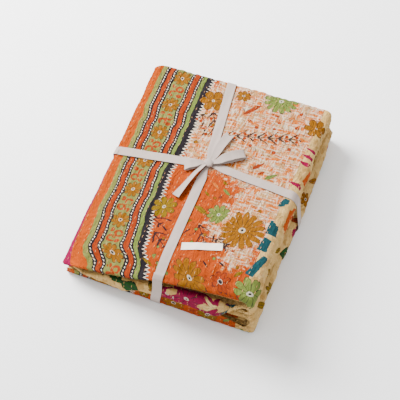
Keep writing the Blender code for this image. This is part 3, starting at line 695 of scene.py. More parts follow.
def packet_rows(place):
    """y, depth through the packet and place down the flat cloth of every row of the grid, from the
    outer layer's front hem to the last layer's. On the outer layer the flat place equals y."""
    across = nominal_x(place)
    step, back_step = pitch(across, 0.0), pitch(across, FOLD_DEPTH)
    ones = np.ones(place.shape)
    rows = []
    turn, hem, drop = (read(FRONT_HEM, place, k) for k in (1, 2, 3))
    corner = FRONT_ROUND * np.minimum(drop, turn - hem)
    straight, bend, on = drop - corner, corner * math.pi / 2.0, turn - hem - corner
    down, round_, back = WRAP_STEPS
    shares = np.concatenate([np.zeros(1), HEM_SHARES, np.arange(1, down) / down])
    for t in shares:
        flat = turn - on - bend - straight * (1.0 - t)
        rows.append((hem, 0.5 + (drop - straight * t) / step, flat))
    for k in range(round_):
        angle = 0.5 * math.pi * k / round_
        y = hem + corner * (1.0 - math.cos(angle))
        depth = 0.5 + corner * (1.0 - math.sin(angle)) / step
        rows.append((y, depth, turn - on - bend * (1.0 - k / round_)))
    for k in range(back):
        rows.append((hem + corner + on * k / back, 0.5 * ones, turn - on * (1.0 - k / back)))
    hem_distance = np.interp(place, STAGES, FLAT_AT_PLACE)
    hem_distance = np.minimum(hem_distance, FLAT_WIDTH - hem_distance)
    past = np.clip(1.0 - hem_distance / BACK_CORNER, 0.0, 1.0)
    corner_in = BACK_CORNER * (1.0 - np.sqrt(1.0 - BACK_SHARE * past**2))
    outer_back = read(BACK_FOLDS, place, 1) - corner_in
    inner_back = read(BACK_FOLDS, place, 2) - corner_in
    for t in np.arange(OUTER_STEPS) / OUTER_STEPS:
        y = turn + (outer_back - turn) * t
        rows.append((y, 0.5 * ones, y))
    flat = outer_back

    def back_fold(y, centre, flat):
        """Adds half a circle's rows about a depth, and gives the flat place after it."""
        for k in range(BACK_STEPS + 1):
            angle = math.pi * k / BACK_STEPS
            out = y + 0.5 * back_step * math.sin(angle)
            depth = (centre - 0.5 * math.cos(angle)) * ones
            rows.append((out, depth, flat + 0.5 * back_step * angle))
        return flat + 0.5 * back_step * math.pi

    def panel(start, stop, depth, flat):
        """Adds a straight panel's inner rows at a depth, and gives the flat place after it."""
        for t in np.arange(1, INNER_STEPS) / INNER_STEPS:
            y = start + (stop - start) * t
            rows.append((y, depth * ones, flat + np.abs(y - start)))
        return flat + np.abs(stop - start)

    flat = back_fold(outer_back, 1.0, flat)
    front = read(INNER_FRONT, place, 1)
    second_panel = (place > 2.0) & (place < 3.0)
    out = np.where(second_panel, read(FRONT_FLAP, across, 1), 0.0)
    hang = np.where(second_panel, smooth(read(FRONT_FLAP, across, 2)), 0.0)
    tip_level = BASE_LEVEL - (read(FRONT_FLAP, across, 3) - SHEET / 2.0) / step
    tip = 2 * PACKET - tip_level
    fold_y = front + (FLAP_REACH - front) * out
    bulb = 1.0 + FLAP_BULB * out
    at = np.linspace(0.0, len(FLAP_SECTION) - 1.0, FLAP_STEPS + 1)
    section = through(FLAP_SECTION, at)
    fold = []
    for (y, way, held), k in zip(section, at):
        angle = math.pi * k / at[-1]
        plain_y = fold_y + 0.5 * step * bulb * (1.0 - math.sin(angle))
        plain_depth = 2.0 - 0.5 * math.cos(angle) * (1.0 + (bulb - 1.0) * math.sin(angle))
        flap_depth = held + (tip - held) * way
        fold.append((plain_y + (y - plain_y) * hang, plain_depth + (flap_depth - plain_depth) * hang))
    flat = panel(outer_back, fold[0][0], 1.5, flat)
    for k, (y, depth) in enumerate(fold):
        if k:
            flat = flat + np.hypot(y - fold[k - 1][0], (depth - fold[k - 1][1]) * step)
        rows.append((y, depth, flat))
    flat = panel(fold[-1][0], inner_back, 2.5, flat)
    flat = back_fold(inner_back, 3.0, flat)
    last = read(INNER_FRONT, place, 2)
    flat = panel(inner_back, last, 3.5, flat)
    for inset in reversed((0.0,) + HEM_INSETS):
        rows.append((last + inset, 3.5 * ones, flat - inset))
    return tuple(np.array([row[k] for row in rows]) for k in range(3))


def unit(vectors):
    """Vectors made one long."""
    return vectors / np.maximum(np.linalg.norm(vectors, axis=-1, keepdims=True), 1e-9)


def face_normals(grid):
    """Unit normals of a rows by columns grid: the step to the next column crossed with the step to
    the next row."""
    return unit(np.cross(np.gradient(grid, axis=1), np.gradient(grid, axis=0)))


def cloth_points(sizes):
    """The folded sheet's middle surface with its quilting, and its place in the flat cloth.

    The surface is the bundle's fold map. Along its normal it is raised between the stitch rows by
    half a cosine of the row pitch, gathered along each row by a sine of the stitch pitch, and made
    uneven by waves 20 to 60 mm long, and by slanted pleats on the right folds. A hyperbolic tangent
    keeps the rise within the room that a neighbour layer leaves.
    """
    place = strip_places()
    y, depth, down = packet_rows(place)
    place = np.broadcast_to(place, y.shape)
    x, level = packet_place(place, y, depth)
    across = np.interp(place, STAGES, FLAT_AT_PLACE)
    hems = np.exp(-np.minimum(across, FLAT_WIDTH - across) / HEM_FADE)
    x = x + hems * uneven(HEM_WAVES, down, across * 0.0)
    outer = np.clip(1.5 - depth, 0.0, 1.0)
    front = np.exp(-np.clip(y, 0.0, None) / FRONT_FADE)
    y = y + outer * front * uneven(FRONT_WAVES, x, y * 0.0)
    grid = np.stack([x, y, level_height(x, y, level)], axis=-1)
    normal = face_normals(grid)
    row = across / (sizes.row_pitch / MM)
    ridge = 0.5 - 0.5 * np.cos(2.0 * math.pi * row)
    stitch = (down + uneven(WANDER, across, down)) / (sizes.stitch_pitch / MM)
    gather = np.sin(2.0 * math.pi * stitch + ROW_PHASE * np.floor(row))
    gather = gather * (GATHER_MEAN + uneven(GATHER_WAVES, across, down))
    quilt = RIDGE_SHARE * ridge + GATHER_SHARE * gather + uneven(CRUMPLES, across, down)
    calm_from, calm_to, calm_over, calmer = CALM
    calm = smooth((place - calm_from) / calm_over) * smooth((calm_to - place) / calm_over)
    quilt = sizes.pucker_height / MM * quilt * (1.0 - calmer * calm)
    turning = sum(
        smooth((place - start) / ROLL_EASE) * smooth((start + 1.0 - place) / ROLL_EASE)
        for start in ROLL_STARTS
    )
    pleats = uneven(PLEATS, across + PLEAT_SLANT * down, down) + uneven(PLEAT_WAVES, across, down)
    rise = (quilt + uneven(DRAPE_WAVES, across, down) + turning * pleats) * outer
    free = np.clip((pitch(x, y) - SHEET - NEAR_FREE) / 2.0, LEAST_FREE, None)
    top = np.clip(1.5 - level, 0.0, 1.0)
    apart = np.where(place < 3.0, smooth((2.0 - place) / 0.5), smooth((place - 5.0) / 0.5))
    limit = free + TOP_FREE * top + ROLL_FREE * turning * outer * apart * (rise > 0.0)
    rise = limit * np.tanh(rise / limit)
    base = np.clip(level - BASE_LEVEL + 1.0, 0.0, 1.0) * smooth(y / FRONT_FADE)
    rise = np.where(base > 0.0, -np.abs(rise) * BASE_SHARE, rise)
    grid = grid + normal * rise[..., None]
    grid[..., 2] = np.maximum(grid[..., 2], SHEET / 2.0 + FLOOR_GAP)
    return {"grid": grid, "across": across, "down": down, "place": place, "depth": depth}


def flat_place(cloth):
    """Where the print is looked up for each point of the grid: its place in the flat cloth, but for
    the front left corner, where the cloth is drawn askew and the border's stripes run to the right."""
    across, down = cloth["across"], cloth["down"]
    before = (read(SKEW_START, across) - down) / SKEW_LENGTH
    skew = SKEW_MOST * smooth(before) * smooth(across / SKEW_LENGTH) * (across < FLAT_AT_PLACE[1])
    return np.stack([across - skew, down], axis=-1)


# Meshes


def to_row(points):
    """Bundle millimetres to the frame's metres."""
    return (points - np.array([BOX_CENTRE[0], BOX_CENTRE[1], 0.0])) * MM


def mesh_piece(name, points, faces, materials, face_material=None, uv=None):
    """A piece from arrays: points in bundle millimetres, quads, and a UV map in metres by point."""
    mesh = bpy.data.meshes.new(name)
    mesh.vertices.add(len(points))
    mesh.vertices.foreach_set("co", to_row(points).astype(np.float32).ravel())
    mesh.loops.add(faces.size)
    mesh.loops.foreach_set("vertex_index", faces.astype(np.int32).ravel())
    mesh.polygons.add(len(faces))
    mesh.polygons.foreach_set("loop_start", np.arange(0, faces.size, faces.shape[1], dtype=np.int32))
    mesh.update(calc_edges=True)
    mesh.polygons.foreach_set("use_smooth", np.ones(len(faces), bool))
    for material in materials:
        mesh.materials.append(material)
    if face_material is not None:
        mesh.polygons.foreach_set("material_index", face_material.astype(np.int32))
    if uv is not None:
        layer = mesh.uv_layers.new(name="flat_cloth")
        layer.data.foreach_set("uv", (uv[faces.ravel()] * MM).astype(np.float32).ravel())
    mesh.validate()
    made = bpy.data.objects.new(name, mesh)
    bpy.context.scene.collection.objects.link(made)
    return made


def grid_faces(rows, columns, start=0):
    """Quads of a rows by columns grid of points, facing the side its normals point to."""
    at = start + np.arange(rows * columns).reshape(rows, columns)
    quads = np.stack([at[:-1, :-1], at[:-1, 1:], at[1:, 1:], at[1:, :-1]], axis=-1)
    return quads.reshape(-1, 4)


def shell(grid, thickness, edge):
    """A closed thin body about a rows by columns grid: the grid moved out along its normals by half
    the thickness on both sides, less near its border, so that the two sides meet there in a
    rounded edge. Returns points, quads, and for each point its row and column in the grid."""
    rows, columns = grid.shape[:2]
    normal = face_normals(grid)
    along = np.linalg.norm(np.diff(grid, axis=1), axis=-1)
    down = np.linalg.norm(np.diff(grid, axis=0), axis=-1)
    from_left = np.concatenate([np.zeros((rows, 1)), np.cumsum(along, axis=1)], axis=1)
    from_top = np.concatenate([np.zeros((1, columns)), np.cumsum(down, axis=0)], axis=0)
    inset = np.minimum(
        np.minimum(from_left, from_left[:, -1:] - from_left),
        np.minimum(from_top, from_top[-1:] - from_top),
    )
    part = np.clip(inset / edge, 0.0, 1.0)
    half = 0.5 * thickness * np.sqrt(1.0 - (1.0 - part) ** 2)
    front = grid + normal * half[..., None]
    back = grid - normal * half[..., None]
    border = np.ones((rows, columns), bool)
    border[1:-1, 1:-1] = False
    number = np.arange(rows * columns).reshape(rows, columns)
    back_number = np.where(border, number, 0)
    back_number[~border] = rows * columns + np.arange((~border).sum())
    faces = grid_faces(rows, columns)
    back_faces = back_number.ravel()[faces][:, ::-1]
    points = np.concatenate([front.reshape(-1, 3), back[~border]])
    source = np.concatenate([number.ravel(), number[~border]])
    return points, faces, back_faces, source


def add_attribute(mesh, name, values):
    """A point attribute: a number, a vector or a colour for each point."""
    kind = {1: "FLOAT", 3: "FLOAT_VECTOR", 4: "FLOAT_COLOR"}[values.shape[1]]
    field = {1: "value", 3: "vector", 4: "color"}[values.shape[1]]
    made = mesh.attributes.new(name, kind, "POINT")
    made.data.foreach_set(field, values.astype(np.float32).ravel())


class OverCloth:
    """Heights of the folded cloth's upper face, straight between its grid points."""

    def __init__(self, cloth):
        grid = cloth["grid"]
        stage = cloth["place"][0] <= 1.0
        self.columns = np.flatnonzero(stage)
        hem_rows = len(HEM_SHARES) + sum(WRAP_STEPS)
        self.rows = np.arange(hem_rows, hem_rows + OUTER_STEPS)
        part = grid[np.ix_(self.rows, self.columns)]
        self.x, self.y = part[len(self.rows) // 2, :, 0], part[:, :, 1].mean(axis=1)
        self.z = part[..., 2] + SHEET / 2.0

    def at(self, x, y):
        """Height at x, y."""
        x, y = np.asarray(x, float), np.asarray(y, float)
        fx = np.interp(x, self.x, np.arange(len(self.x)))
        fy = np.interp(y, self.y, np.arange(len(self.y)))
        i = np.clip(fx.astype(int), 0, len(self.x) - 2)
        j = np.clip(fy.astype(int), 0, len(self.y) - 2)
        tx, ty = fx - i, fy - j
        near = self.z[j, i] * (1 - tx) + self.z[j, i + 1] * tx
        far = self.z[j + 1, i] * (1 - tx) + self.z[j + 1, i + 1] * tx
        return near * (1 - ty) + far * ty

    def over(self, x, y, reach=3.0):
        """The highest of the cloth within reach of x, y, which a strip laid there rests on."""
        offsets = np.linspace(-reach, reach, 5)
        return np.max([self.at(x + a, y + b) for a in offsets for b in offsets], axis=0)


_made = {}


def the_cloth():
    """The folded cloth's arrays, worked out once for all pieces that lie on it."""
    if "cloth" not in _made:
        _made["cloth"] = cloth_points(bpy.context.scene.throw_sizes)
        _made["over"] = OverCloth(_made["cloth"])
    return _made["cloth"], _made["over"]


# The tape


def hull(points):
    """Convex outline of points in a plane, anticlockwise."""
    order = sorted(map(tuple, np.round(points, 3)))

    def half(run):
        """The chain that turns left all the way."""
        chain = []
        for p in run:
            while len(chain) > 1:
                (ax, ay), (bx, by) = chain[-2], chain[-1]
                if (bx - ax) * (p[1] - ay) - (by - ay) * (p[0] - ax) > 0.002:
                    break
                chain.pop()
            chain.append(p)
        return chain

    return np.array(half(order)[:-1] + half(order[::-1])[:-1])


def moved_out(outline, off):
    """A convex outline with each side moved out by off."""
    along = np.roll(outline, -1, axis=0) - outline
    normal = unit(np.stack([along[:, 1], -along[:, 0]], axis=1))
    before = np.roll(normal, 1, axis=0)
    share = 1.0 + (normal * before).sum(axis=1)
    return outline + off * (normal + before) / share[:, None]


def spaced(size, count):
    """Even places about the middle of a size."""
    return np.linspace(-0.5, 0.5, count) * size


def evenly(points, step):
    """A polyline's points at even steps along it."""
    run = np.concatenate([[0.0], np.cumsum(np.linalg.norm(np.diff(points, axis=0), axis=1))])
    at = np.linspace(0.0, run[-1], max(3, int(run[-1] / step) + 1))
    return np.stack([np.interp(at, run, points[:, k]) for k in range(points.shape[1])], axis=1)


def across_line(x, z):
    """y of the tape's run from left to right, on top and straight back under the base."""
    under = np.interp(x, (RUN_ACROSS[0][0], RUN_ACROSS[-1][0]), UNDER_RUNS[0])
    return np.where(z > SIDE_HEIGHT, read(RUN_ACROSS, x), under)


def along_line(y, z):
    """x of the tape's run from front to back: on top it bends at the knot, under the base it runs
    straight, and it leans down the front and back."""
    under = np.interp(y, (RUN_ALONG[0][0], RUN_ALONG[-1][0]), UNDER_RUNS[1])
    share = smooth(z / LEAN_HEIGHT)
    return read(RUN_ALONG, y) * share + under * (1.0 - share)


def eased(rows, width):
    """Each row's running mean over so many of its points."""
    around = (width - 1) // 2
    kernel = np.ones(width) / width
    return np.stack([np.convolve(np.pad(row, around, mode="edge"), kernel, "valid") for row in rows])


def tape_grid(axis, centreline, knot, edges, lift, ends, thickness):
    """A tape's middle surface round the bundle, as points along by lines across.

    axis is 0 for the run from left to right and 1 for the one from front to back. On top, between
    the two edges, the tape lies on the cloth. Round the sides and under the base it follows the
    convex outline of the cloth near it, moved out by its gap, and is lifted into the base's dent.
    At both ends it is drawn in towards the knot, to the shares of its width that ends gives.
    """
    cloth, over = the_cloth()
    other = 1 - axis
    points = cloth["grid"].reshape(-1, 3)
    line = centreline(points[:, axis], points[:, 2])
    near = np.abs(points[:, other] - line) < TAPE_WIDTH / 2.0 + TAPE_BESIDE
    outline = moved_out(hull(points[near][:, (axis, 2)]), SHEET / 2.0 + TAPE_GAP + thickness / 2.0)
    on_top = (outline[:, 1] > LOWEST_TOP) & (outline[:, 0] > edges[0]) & (outline[:, 0] < edges[1])
    sides = outline[~on_top]
    middle = sides.mean(axis=0)
    turn = np.arctan2(sides[:, 1] - middle[1], sides[:, 0] - middle[0]) - math.pi / 2.0
    sides = sides[np.argsort(turn % (2.0 * math.pi))]
    first = np.linspace(knot - KNOT_REACH, edges[0], TOP_STEPS)
    last = np.linspace(edges[1], knot + KNOT_REACH, TOP_STEPS)
    sides = evenly(sides, SIDE_STEP)
    sides[:, 1] += np.where(sides[:, 1] < DENT_HEIGHT, lift * plateau(sides[:, 0], BASE_ACROSS), 0.0)
    high = np.full(TOP_STEPS, LEAN_HEIGHT)
    at = np.concatenate([first, sides[:, 0], last])
    z = np.concatenate([high, sides[:, 1], high])
    top = np.concatenate([np.ones(TOP_STEPS, bool), np.zeros(len(sides), bool), np.ones(TOP_STEPS, bool)])
    shares = np.linspace(-1.0, 1.0, STRIP_LINES)
    centre = centreline(at, z)
    run = np.concatenate([[0.0], np.cumsum(np.abs(np.diff(at)) + np.abs(np.diff(z)) * 0.5)])
    pull = 1.0 - (1.0 - ends[0]) * (1.0 - smooth(run / KNOT_TAPER))
    pull = pull * (1.0 - (1.0 - ends[1]) * (1.0 - smooth((run[-1] - run) / KNOT_TAPER)))
    grid = np.zeros((len(at), STRIP_LINES, 3))
    grid[..., axis] = at[:, None]
    grid[..., other] = centre[:, None] + shares * (TAPE_WIDTH / 2.0) * pull[:, None]
    grid[..., 2] = z[:, None]
    lying = over.over(grid[..., 0], grid[..., 1]) + REST + thickness / 2.0
    crown = lying[:, STRIP_LINES // 2, None]
    lying = np.maximum(lying, 0.5 * lying + 0.5 * crown)
    soft = np.maximum(eased(lying.T, TAPE_EASE).T, lying - TAPE_SINK)
    grid[..., 2] = np.where(top[:, None], soft, grid[..., 2])
    return grid


def strip_grid(table, thickness, cup, notch):
    """A loop's or a free end's middle surface: a flat strip along a smooth curve through its table,
    level across and square to its line in plan unless twisted, with its edges raised by cup times
    the square of their share. Its last line is cut back towards the middle by notch rows of the
    table."""
    _, over = the_cloth()
    rows = np.array(table, float)
    last = len(rows) - 1.0
    shares = np.linspace(-1.0, 1.0, STRIP_LINES)
    along = np.linspace(0.0, 1.0, BOW_STEPS * (len(rows) - 1) + 1)
    at = along[:, None] * (last - notch * (1.0 - np.abs(shares)))
    path = through(rows, at.ravel()).reshape(at.shape + (5,))
    middle = path[..., :3].copy()
    middle[..., 2] += over.over(middle[..., 0], middle[..., 1], LIE_REACH) + BOW_REST + thickness
    away = np.linalg.norm(middle[:, 0, :2] - middle[0, 0, :2], axis=1)
    reach = middle[np.argmax(away), 0] - middle[0, 0]
    level = unit(np.array([-reach[1], reach[0], 0.0]))
    ahead = unit(np.gradient(middle, axis=0))
    lift = unit(np.cross(ahead, level))
    turn = np.radians(path[..., 4:5])
    side = level * np.cos(turn) + lift * np.sin(turn)
    up = np.cross(ahead, side)
    share = shares[None, :, None]
    return middle + side * share * path[..., 3:4] / 2.0 + up * cup * share**2


def edged(grid, insets):
    """The grid with lines added close to its four borders, at the given distances, so that a shell
    about it gets round edges."""
    for axis in (0, 1):
        grid = np.moveaxis(grid, axis, 0)
        first = np.linalg.norm(grid[1] - grid[0], axis=-1).mean()
        last = np.linalg.norm(grid[-1] - grid[-2], axis=-1).mean()
        near = [grid[0] + (grid[1] - grid[0]) * (i / first) for i in insets]
        far = [grid[-1] + (grid[-2] - grid[-1]) * (i / last) for i in reversed(insets)]
        grid = np.concatenate([grid[:1], near, grid[1:-1], far, grid[-1:]])
        grid = np.moveaxis(grid, 0, axis)
    return grid


def sheet_piece(name, grid, thickness, material):
    """A thin closed strip with rounded edges, and a UV map in metres along and across it."""
    grid = edged(grid, STRIP_INSETS)
    points, front, back, source = shell(grid, thickness, STRIP_ROUND)
    along = np.linalg.norm(np.diff(grid, axis=0), axis=-1).mean(axis=1)
    across = np.linalg.norm(np.diff(grid, axis=1), axis=-1).mean(axis=0)
    v = np.concatenate([[0.0], np.cumsum(along)])
    u = np.concatenate([[0.0], np.cumsum(across)])
    uv = np.stack(np.broadcast_arrays(u[None, :], v[:, None]), axis=-1).reshape(-1, 2)
    return mesh_piece(name, points, np.concatenate([front, back]), [material], uv=uv[source])


# Stitches, knot and label


def stitch_arrays(sizes):
    """Points and quads of all the running stitches.

    A stitch is a round thread whose middle line follows the cloth's face along its row, with both
    ends sunk into the cloth: its height over the face is half an ellipse, and it thins towards its
    ends by a fourth power. Rows are one row pitch apart across the cloth, and every stitch's place
    and length is a little uneven.
    """
    cloth, _ = the_cloth()
    grid, across, down = cloth["grid"], cloth["across"][0], cloth["down"]
    normal = face_normals(grid)
    radius, reach = sizes.thread_radius / MM, sizes.stitch_length / MM
    step, gap = sizes.row_pitch / MM, sizes.stitch_pitch / MM
    rings, columns = STITCH_STEPS
    t = np.linspace(-1.0, 1.0, rings)
    turn = np.arange(columns) * (2.0 * math.pi / columns)
    parts = []
    for side, first, last, top, bottom in STITCHED:
        for k in range(int(first / step), int(last / step)):
            u = (k + 0.5) * step
            f = np.interp(u, across, np.arange(len(across)))
            c = min(int(f), len(across) - 2)
            share = f - c
            line = grid[:, c] * (1.0 - share) + grid[:, c + 1] * share
            up = unit(normal[:, c] * (1.0 - share) + normal[:, c + 1] * share) * side
            flat = down[:, c] * (1.0 - share) + down[:, c + 1] * share
            n = np.arange(int(top / gap), int(bottom / gap))
            n = n[rumple(n * 1.0, np.full(len(n), u), 1.0, 1.0, 41) < STITCHES_LEFT]
            jitter = rumple(np.full(len(n), u * 3.1), n * 1.0, 1.0, 1.0, 23)
            centre = (n + 0.5 + STITCH_JITTER * jitter + STITCH_SHIFT * (k % 3)) * gap
            longer = STITCH_LONGER * rumple(n * 1.0, np.full(len(n), u), 1.0, 1.0, 29)
            half = reach / 2.0 * (1.0 + longer)
            at = np.interp(centre[:, None] + half[:, None] * t, flat, np.arange(len(flat)))
            i = np.minimum(at.astype(int), len(flat) - 2)
            w = (at - i)[..., None]
            middle = line[i] * (1.0 - w) + line[i + 1] * w
            lift = unit(up[i] * (1.0 - w) + up[i + 1] * w)
            height = SHEET / 2.0 + radius * (STITCH_HIGH * np.sqrt(1.0 - t**2) - 1.0)
            middle = middle + lift * height[None, :, None]
            ahead = unit(np.gradient(middle, axis=1))
            aside = unit(np.cross(ahead, lift))
            lift = np.cross(aside, ahead)
            thin = radius * (1.0 - STITCH_THINNER * t**4)[None, :, None, None]
            ring = aside[:, :, None] * np.cos(turn)[:, None] + lift[:, :, None] * np.sin(turn)[:, None]
            parts.append((middle[:, :, None] + ring * thin).reshape(-1, 3))
    points = np.concatenate(parts)
    a = np.arange(rings * columns).reshape(rings, columns)
    b = np.roll(a, -1, axis=1)
    tube = np.stack([a[:-1], a[1:], b[1:], b[:-1]], axis=-1).reshape(-1, 4)
    near = [a[:1, (0, 1, 2, 3)], a[:1, (0, 3, 4, 5)]]
    one = np.concatenate([tube] + near + [a[-1:, (3, 2, 1, 0)], a[-1:, (5, 4, 3, 0)]])
    count = len(points) // (rings * columns)
    faces = (one[None] + (np.arange(count) * rings * columns)[:, None, None]).reshape(-1, 4)
    return points, faces


def knot_arrays():
    """Points, quads and flat places of the knot: a ball pressed flat whose radius grows by a soft
    band, one tape width across, that passes over it askew, and is drawn in by fine folds that run
    with the band. The grid closes on itself round the upright axis, with one point at each pole."""
    _, over = the_cloth()
    columns, rows = KNOT_STEPS
    turn = np.arange(columns) * (2.0 * math.pi / columns)
    tip = np.linspace(0.0, math.pi, rows + 2)[1:-1]
    a, b = np.meshgrid(turn, tip)
    ball = np.stack([np.cos(a) * np.sin(b), np.sin(a) * np.sin(b), np.cos(b)], axis=-1)
    ball = np.concatenate([[(0.0, 0.0, 1.0)], ball.reshape(-1, 3), [(0.0, 0.0, -1.0)]])
    askew = math.radians(KNOT_ASKEW)
    along = ball[:, 0] * math.cos(askew) + ball[:, 1] * math.sin(askew)
    aside = ball[:, 1] * math.cos(askew) - ball[:, 0] * math.sin(askew)
    band = 1.0 - smooth((np.abs(along) - KNOT_BAND[0]) / KNOT_BAND[1])
    folds = sum(high * np.sin(along * many + slant * aside) for high, many, slant in KNOT_FOLDS)
    high, many, turned = KNOT_FLUTES
    flutes = high * np.cos(many * np.arctan2(ball[:, 1], ball[:, 0]) - turned) * (1.0 - ball[:, 2] ** 2)
    size = KNOT_SIZES[0] + KNOT_SIZES[1] * band + folds + flutes * (1.0 - band)
    middle = np.array([KNOT_PLACE[0], KNOT_PLACE[1], 0.0])
    middle[2] = over.over(*KNOT_PLACE, LIE_REACH) + KNOT_SIZE[2] / 2.0 + KNOT_REST
    shaped = np.sign(ball) * np.abs(ball) ** KNOT_SQUARE
    points = middle + shaped * size[:, None] * np.array(KNOT_SIZE) / 2.0
    at = 1 + np.arange(rows * columns).reshape(rows, columns)
    nxt = np.roll(at, -1, axis=1)
    wall = np.stack([at[:-1], at[1:], nxt[1:], nxt[:-1]], axis=-1).reshape(-1, 4)
    every = np.arange(0, columns, 2)
    ring, last = at[0], at[-1]
    top = np.stack([np.zeros_like(every), ring[every], ring[every + 1], ring[(every + 2) % columns]], axis=1)
    pole = np.full_like(every, len(points) - 1)
    bottom = np.stack([pole, last[(every + 2) % columns], last[every + 1], last[every]], axis=1)
    flat = np.stack([along * KNOT_SIZE[0] / 2.0, aside * KNOT_SIZE[1] / 2.0], axis=1)
    return points, np.concatenate([wall, top, bottom]), flat


def label_grid():
    """The label's middle surface: a flat rectangle turned on the cloth, resting on its puckers, with
    its middle raised a little by a level cosine along it."""
    _, over = the_cloth()
    x = spaced(LABEL_SIZE[0], LABEL_STEPS[0])[None, :]
    y = spaced(LABEL_SIZE[1], LABEL_STEPS[1])[:, None]
    turn = math.radians(LABEL_TURN)
    px = LABEL_CENTRE[0] + x * math.cos(turn) - y * math.sin(turn)
    py = LABEL_CENTRE[1] + x * math.sin(turn) + y * math.cos(turn)
    z = over.over(px, py, LABEL_REACH)
    high, long, late = LABEL_WAVE
    wave = high * np.cos(2.0 * math.pi * x / long + late)
    lying = np.maximum(eased(z, LABEL_EASE), z - LABEL_SINK) + LABEL_REST
    return np.stack([px, py, lying + wave], axis=-1)


# The print's motifs


def motif_places(flat, centres, radii, turns, scales):
    """For each point of the cloth, its place in the frame of the motif that it is nearest to, and 1
    where that motif alone is near.

    A motif's frame is its turned and scaled axes about its centre, so a point's place in it is
    straight in its place in the cloth, and a shape drawn in it has clean edges on any grid.
    """
    near = np.full(len(flat), 1e6)
    second = near.copy()
    which = np.zeros(len(flat), int)
    for k in range(len(centres)):
        far = np.linalg.norm(flat - centres[k], axis=1) - radii[k]
        closer = far < near
        second = np.where(closer, near, np.minimum(second, far))
        near = np.where(closer, far, near)
        which = np.where(closer, k, which)
    away = flat - centres[which]
    cos, sin = np.cos(turns[which]), np.sin(turns[which])
    x = (away[:, 0] * cos + away[:, 1] * sin) / scales[which, 0]
    y = (away[:, 1] * cos - away[:, 0] * sin) / scales[which, 1]
    alone = (near < MOTIF_MARGIN) & (second - near > MOTIF_TIE)
    return np.stack([x, y, alone], axis=1), which


def border_wave(down):
    """How far the border's stripes swing to the side at a place down the cloth."""
    return uneven(BORDER_SWING, down, down * 0.0)


def border_across(place, down):
    """Distance in from the hem at which a place of the stripes' table is printed."""
    start, width = read(BORDER, down, 1), read(BORDER, down, 2)
    return start + (place - BORDER_EDGE - border_wave(down)) * width / BORDER_WIDTH


def border_field(flat):
    """The stripes' table place of each point, which turns into its distance from the hem beyond
    the border: the first is border_across turned round, and a smooth step leads to the second."""
    inwards = np.minimum(flat[:, 0], FLAT_WIDTH + BORDER_SHIFT - flat[:, 0])
    start, width = read(BORDER, flat[:, 1], 1), read(BORDER, flat[:, 1], 2)
    printed = BORDER_EDGE + (inwards - start) * BORDER_WIDTH / width + border_wave(flat[:, 1])
    beyond = smooth((inwards - BORDER_FADE[0]) / BORDER_FADE[1])
    return printed * (1.0 - beyond) + inwards * beyond


def flower_field(flat, flowers, dots, daisies):
    """Places, looks and colours of flowers: the look is half the petals' number, the eye's share
    and the outline's width as a share of the radius."""
    rows = [(u, v, r, petals, eye, tint) for u, v, r, petals, eye, tint in flowers]
    rows += [(u, v, r, 0, 0.0, tint) for u, v, r, tint in dots]
    if daisies:
        down = np.add.outer(DAISY_STARTS, DAISY_PITCH * np.arange(int(FLAT_LENGTH / DAISY_PITCH))).T
        across = border_across(DAISY_ACROSS, down)
        across[:, 1] = FLAT_WIDTH + BORDER_SHIFT - across[:, 1]
        rows += [(u, v) + DAISY for u, v in zip(across.ravel(), down.ravel())]
    size = column(rows, 2)
    centres = np.stack([column(rows, 0), column(rows, 1)], axis=1)
    turns = centres[:, 0] * FLOWER_TURN + centres[:, 1]
    places, which = motif_places(flat, centres, size, turns, np.stack([size, size], axis=1))
    outline = np.minimum(OUTLINE / size, OUTLINE_MOST)
    look = np.stack([column(rows, 3) / 2.0, column(rows, 4), outline], axis=1)
    return places, look[which], tints(rows)[which]


def leaf_field(flat, leaves):
    """Places and colours of leaves, in half lengths along and half widths across."""
    ends = np.array([row[:4] for row in leaves], float)
    along = ends[:, 2:] - ends[:, :2]
    half = np.linalg.norm(along, axis=1) / 2.0
    turns = np.arctan2(along[:, 1], along[:, 0])
    scales = np.stack([half, column(leaves, 4)], axis=1)
    places, which = motif_places(flat, (ends[:, :2] + ends[:, 2:]) / 2.0, half, turns, scales)
    return places, tints(leaves)[which]


def patch_field(flat, patches):
    """Places and colours of patches, with the taper as the colour's fourth part."""
    centres = np.stack([column(patches, 0), column(patches, 1)], axis=1)
    scales = np.stack([column(patches, 3), column(patches, 4)], axis=1)
    turns = np.radians(column(patches, 2))
    places, which = motif_places(flat, centres, scales.max(axis=1), turns, scales)
    colours = tints(patches)
    colours[:, 3] = column(patches, 5)
    return places, colours[which]


def sprig_field(flat, sprigs):
    """Places along and across each sprig in millimetres, and 1 beside its stem."""
    best = np.zeros((len(flat), 3))
    for u, v, u_end, v_end in sprigs:
        along = np.array([u_end - u, v_end - v], float)
        length = np.linalg.norm(along)
        along = along / length
        away = flat - np.array([u, v])
        x = away @ along
        y = away[:, 1] * along[0] - away[:, 0] * along[1]
        beside = (x > -SPRIG_PAST) & (x < length + SPRIG_PAST) & (np.abs(y) < SPRIG_REACH)
        best = np.where(beside[:, None], np.stack([x, y, beside], axis=1), best)
    return best


def pale_field(flat):
    """How far inside the worn, pale ground a point lies, in millimetres."""
    inside = np.full(len(flat), -PALE_OUTSIDE)
    for u, v, wide, long in PALE:
        off = np.hypot((flat[:, 0] - u) / wide, (flat[:, 1] - v) / long)
        inside = np.maximum(inside, (1.0 - off) * min(wide, long))
    return inside


def tints(rows):
    """The colours that a table's rows name last."""
    palette = bpy.context.scene.throw_colours
    return np.array([tuple(getattr(palette, row[-1])) + (1.0,) for row in rows])


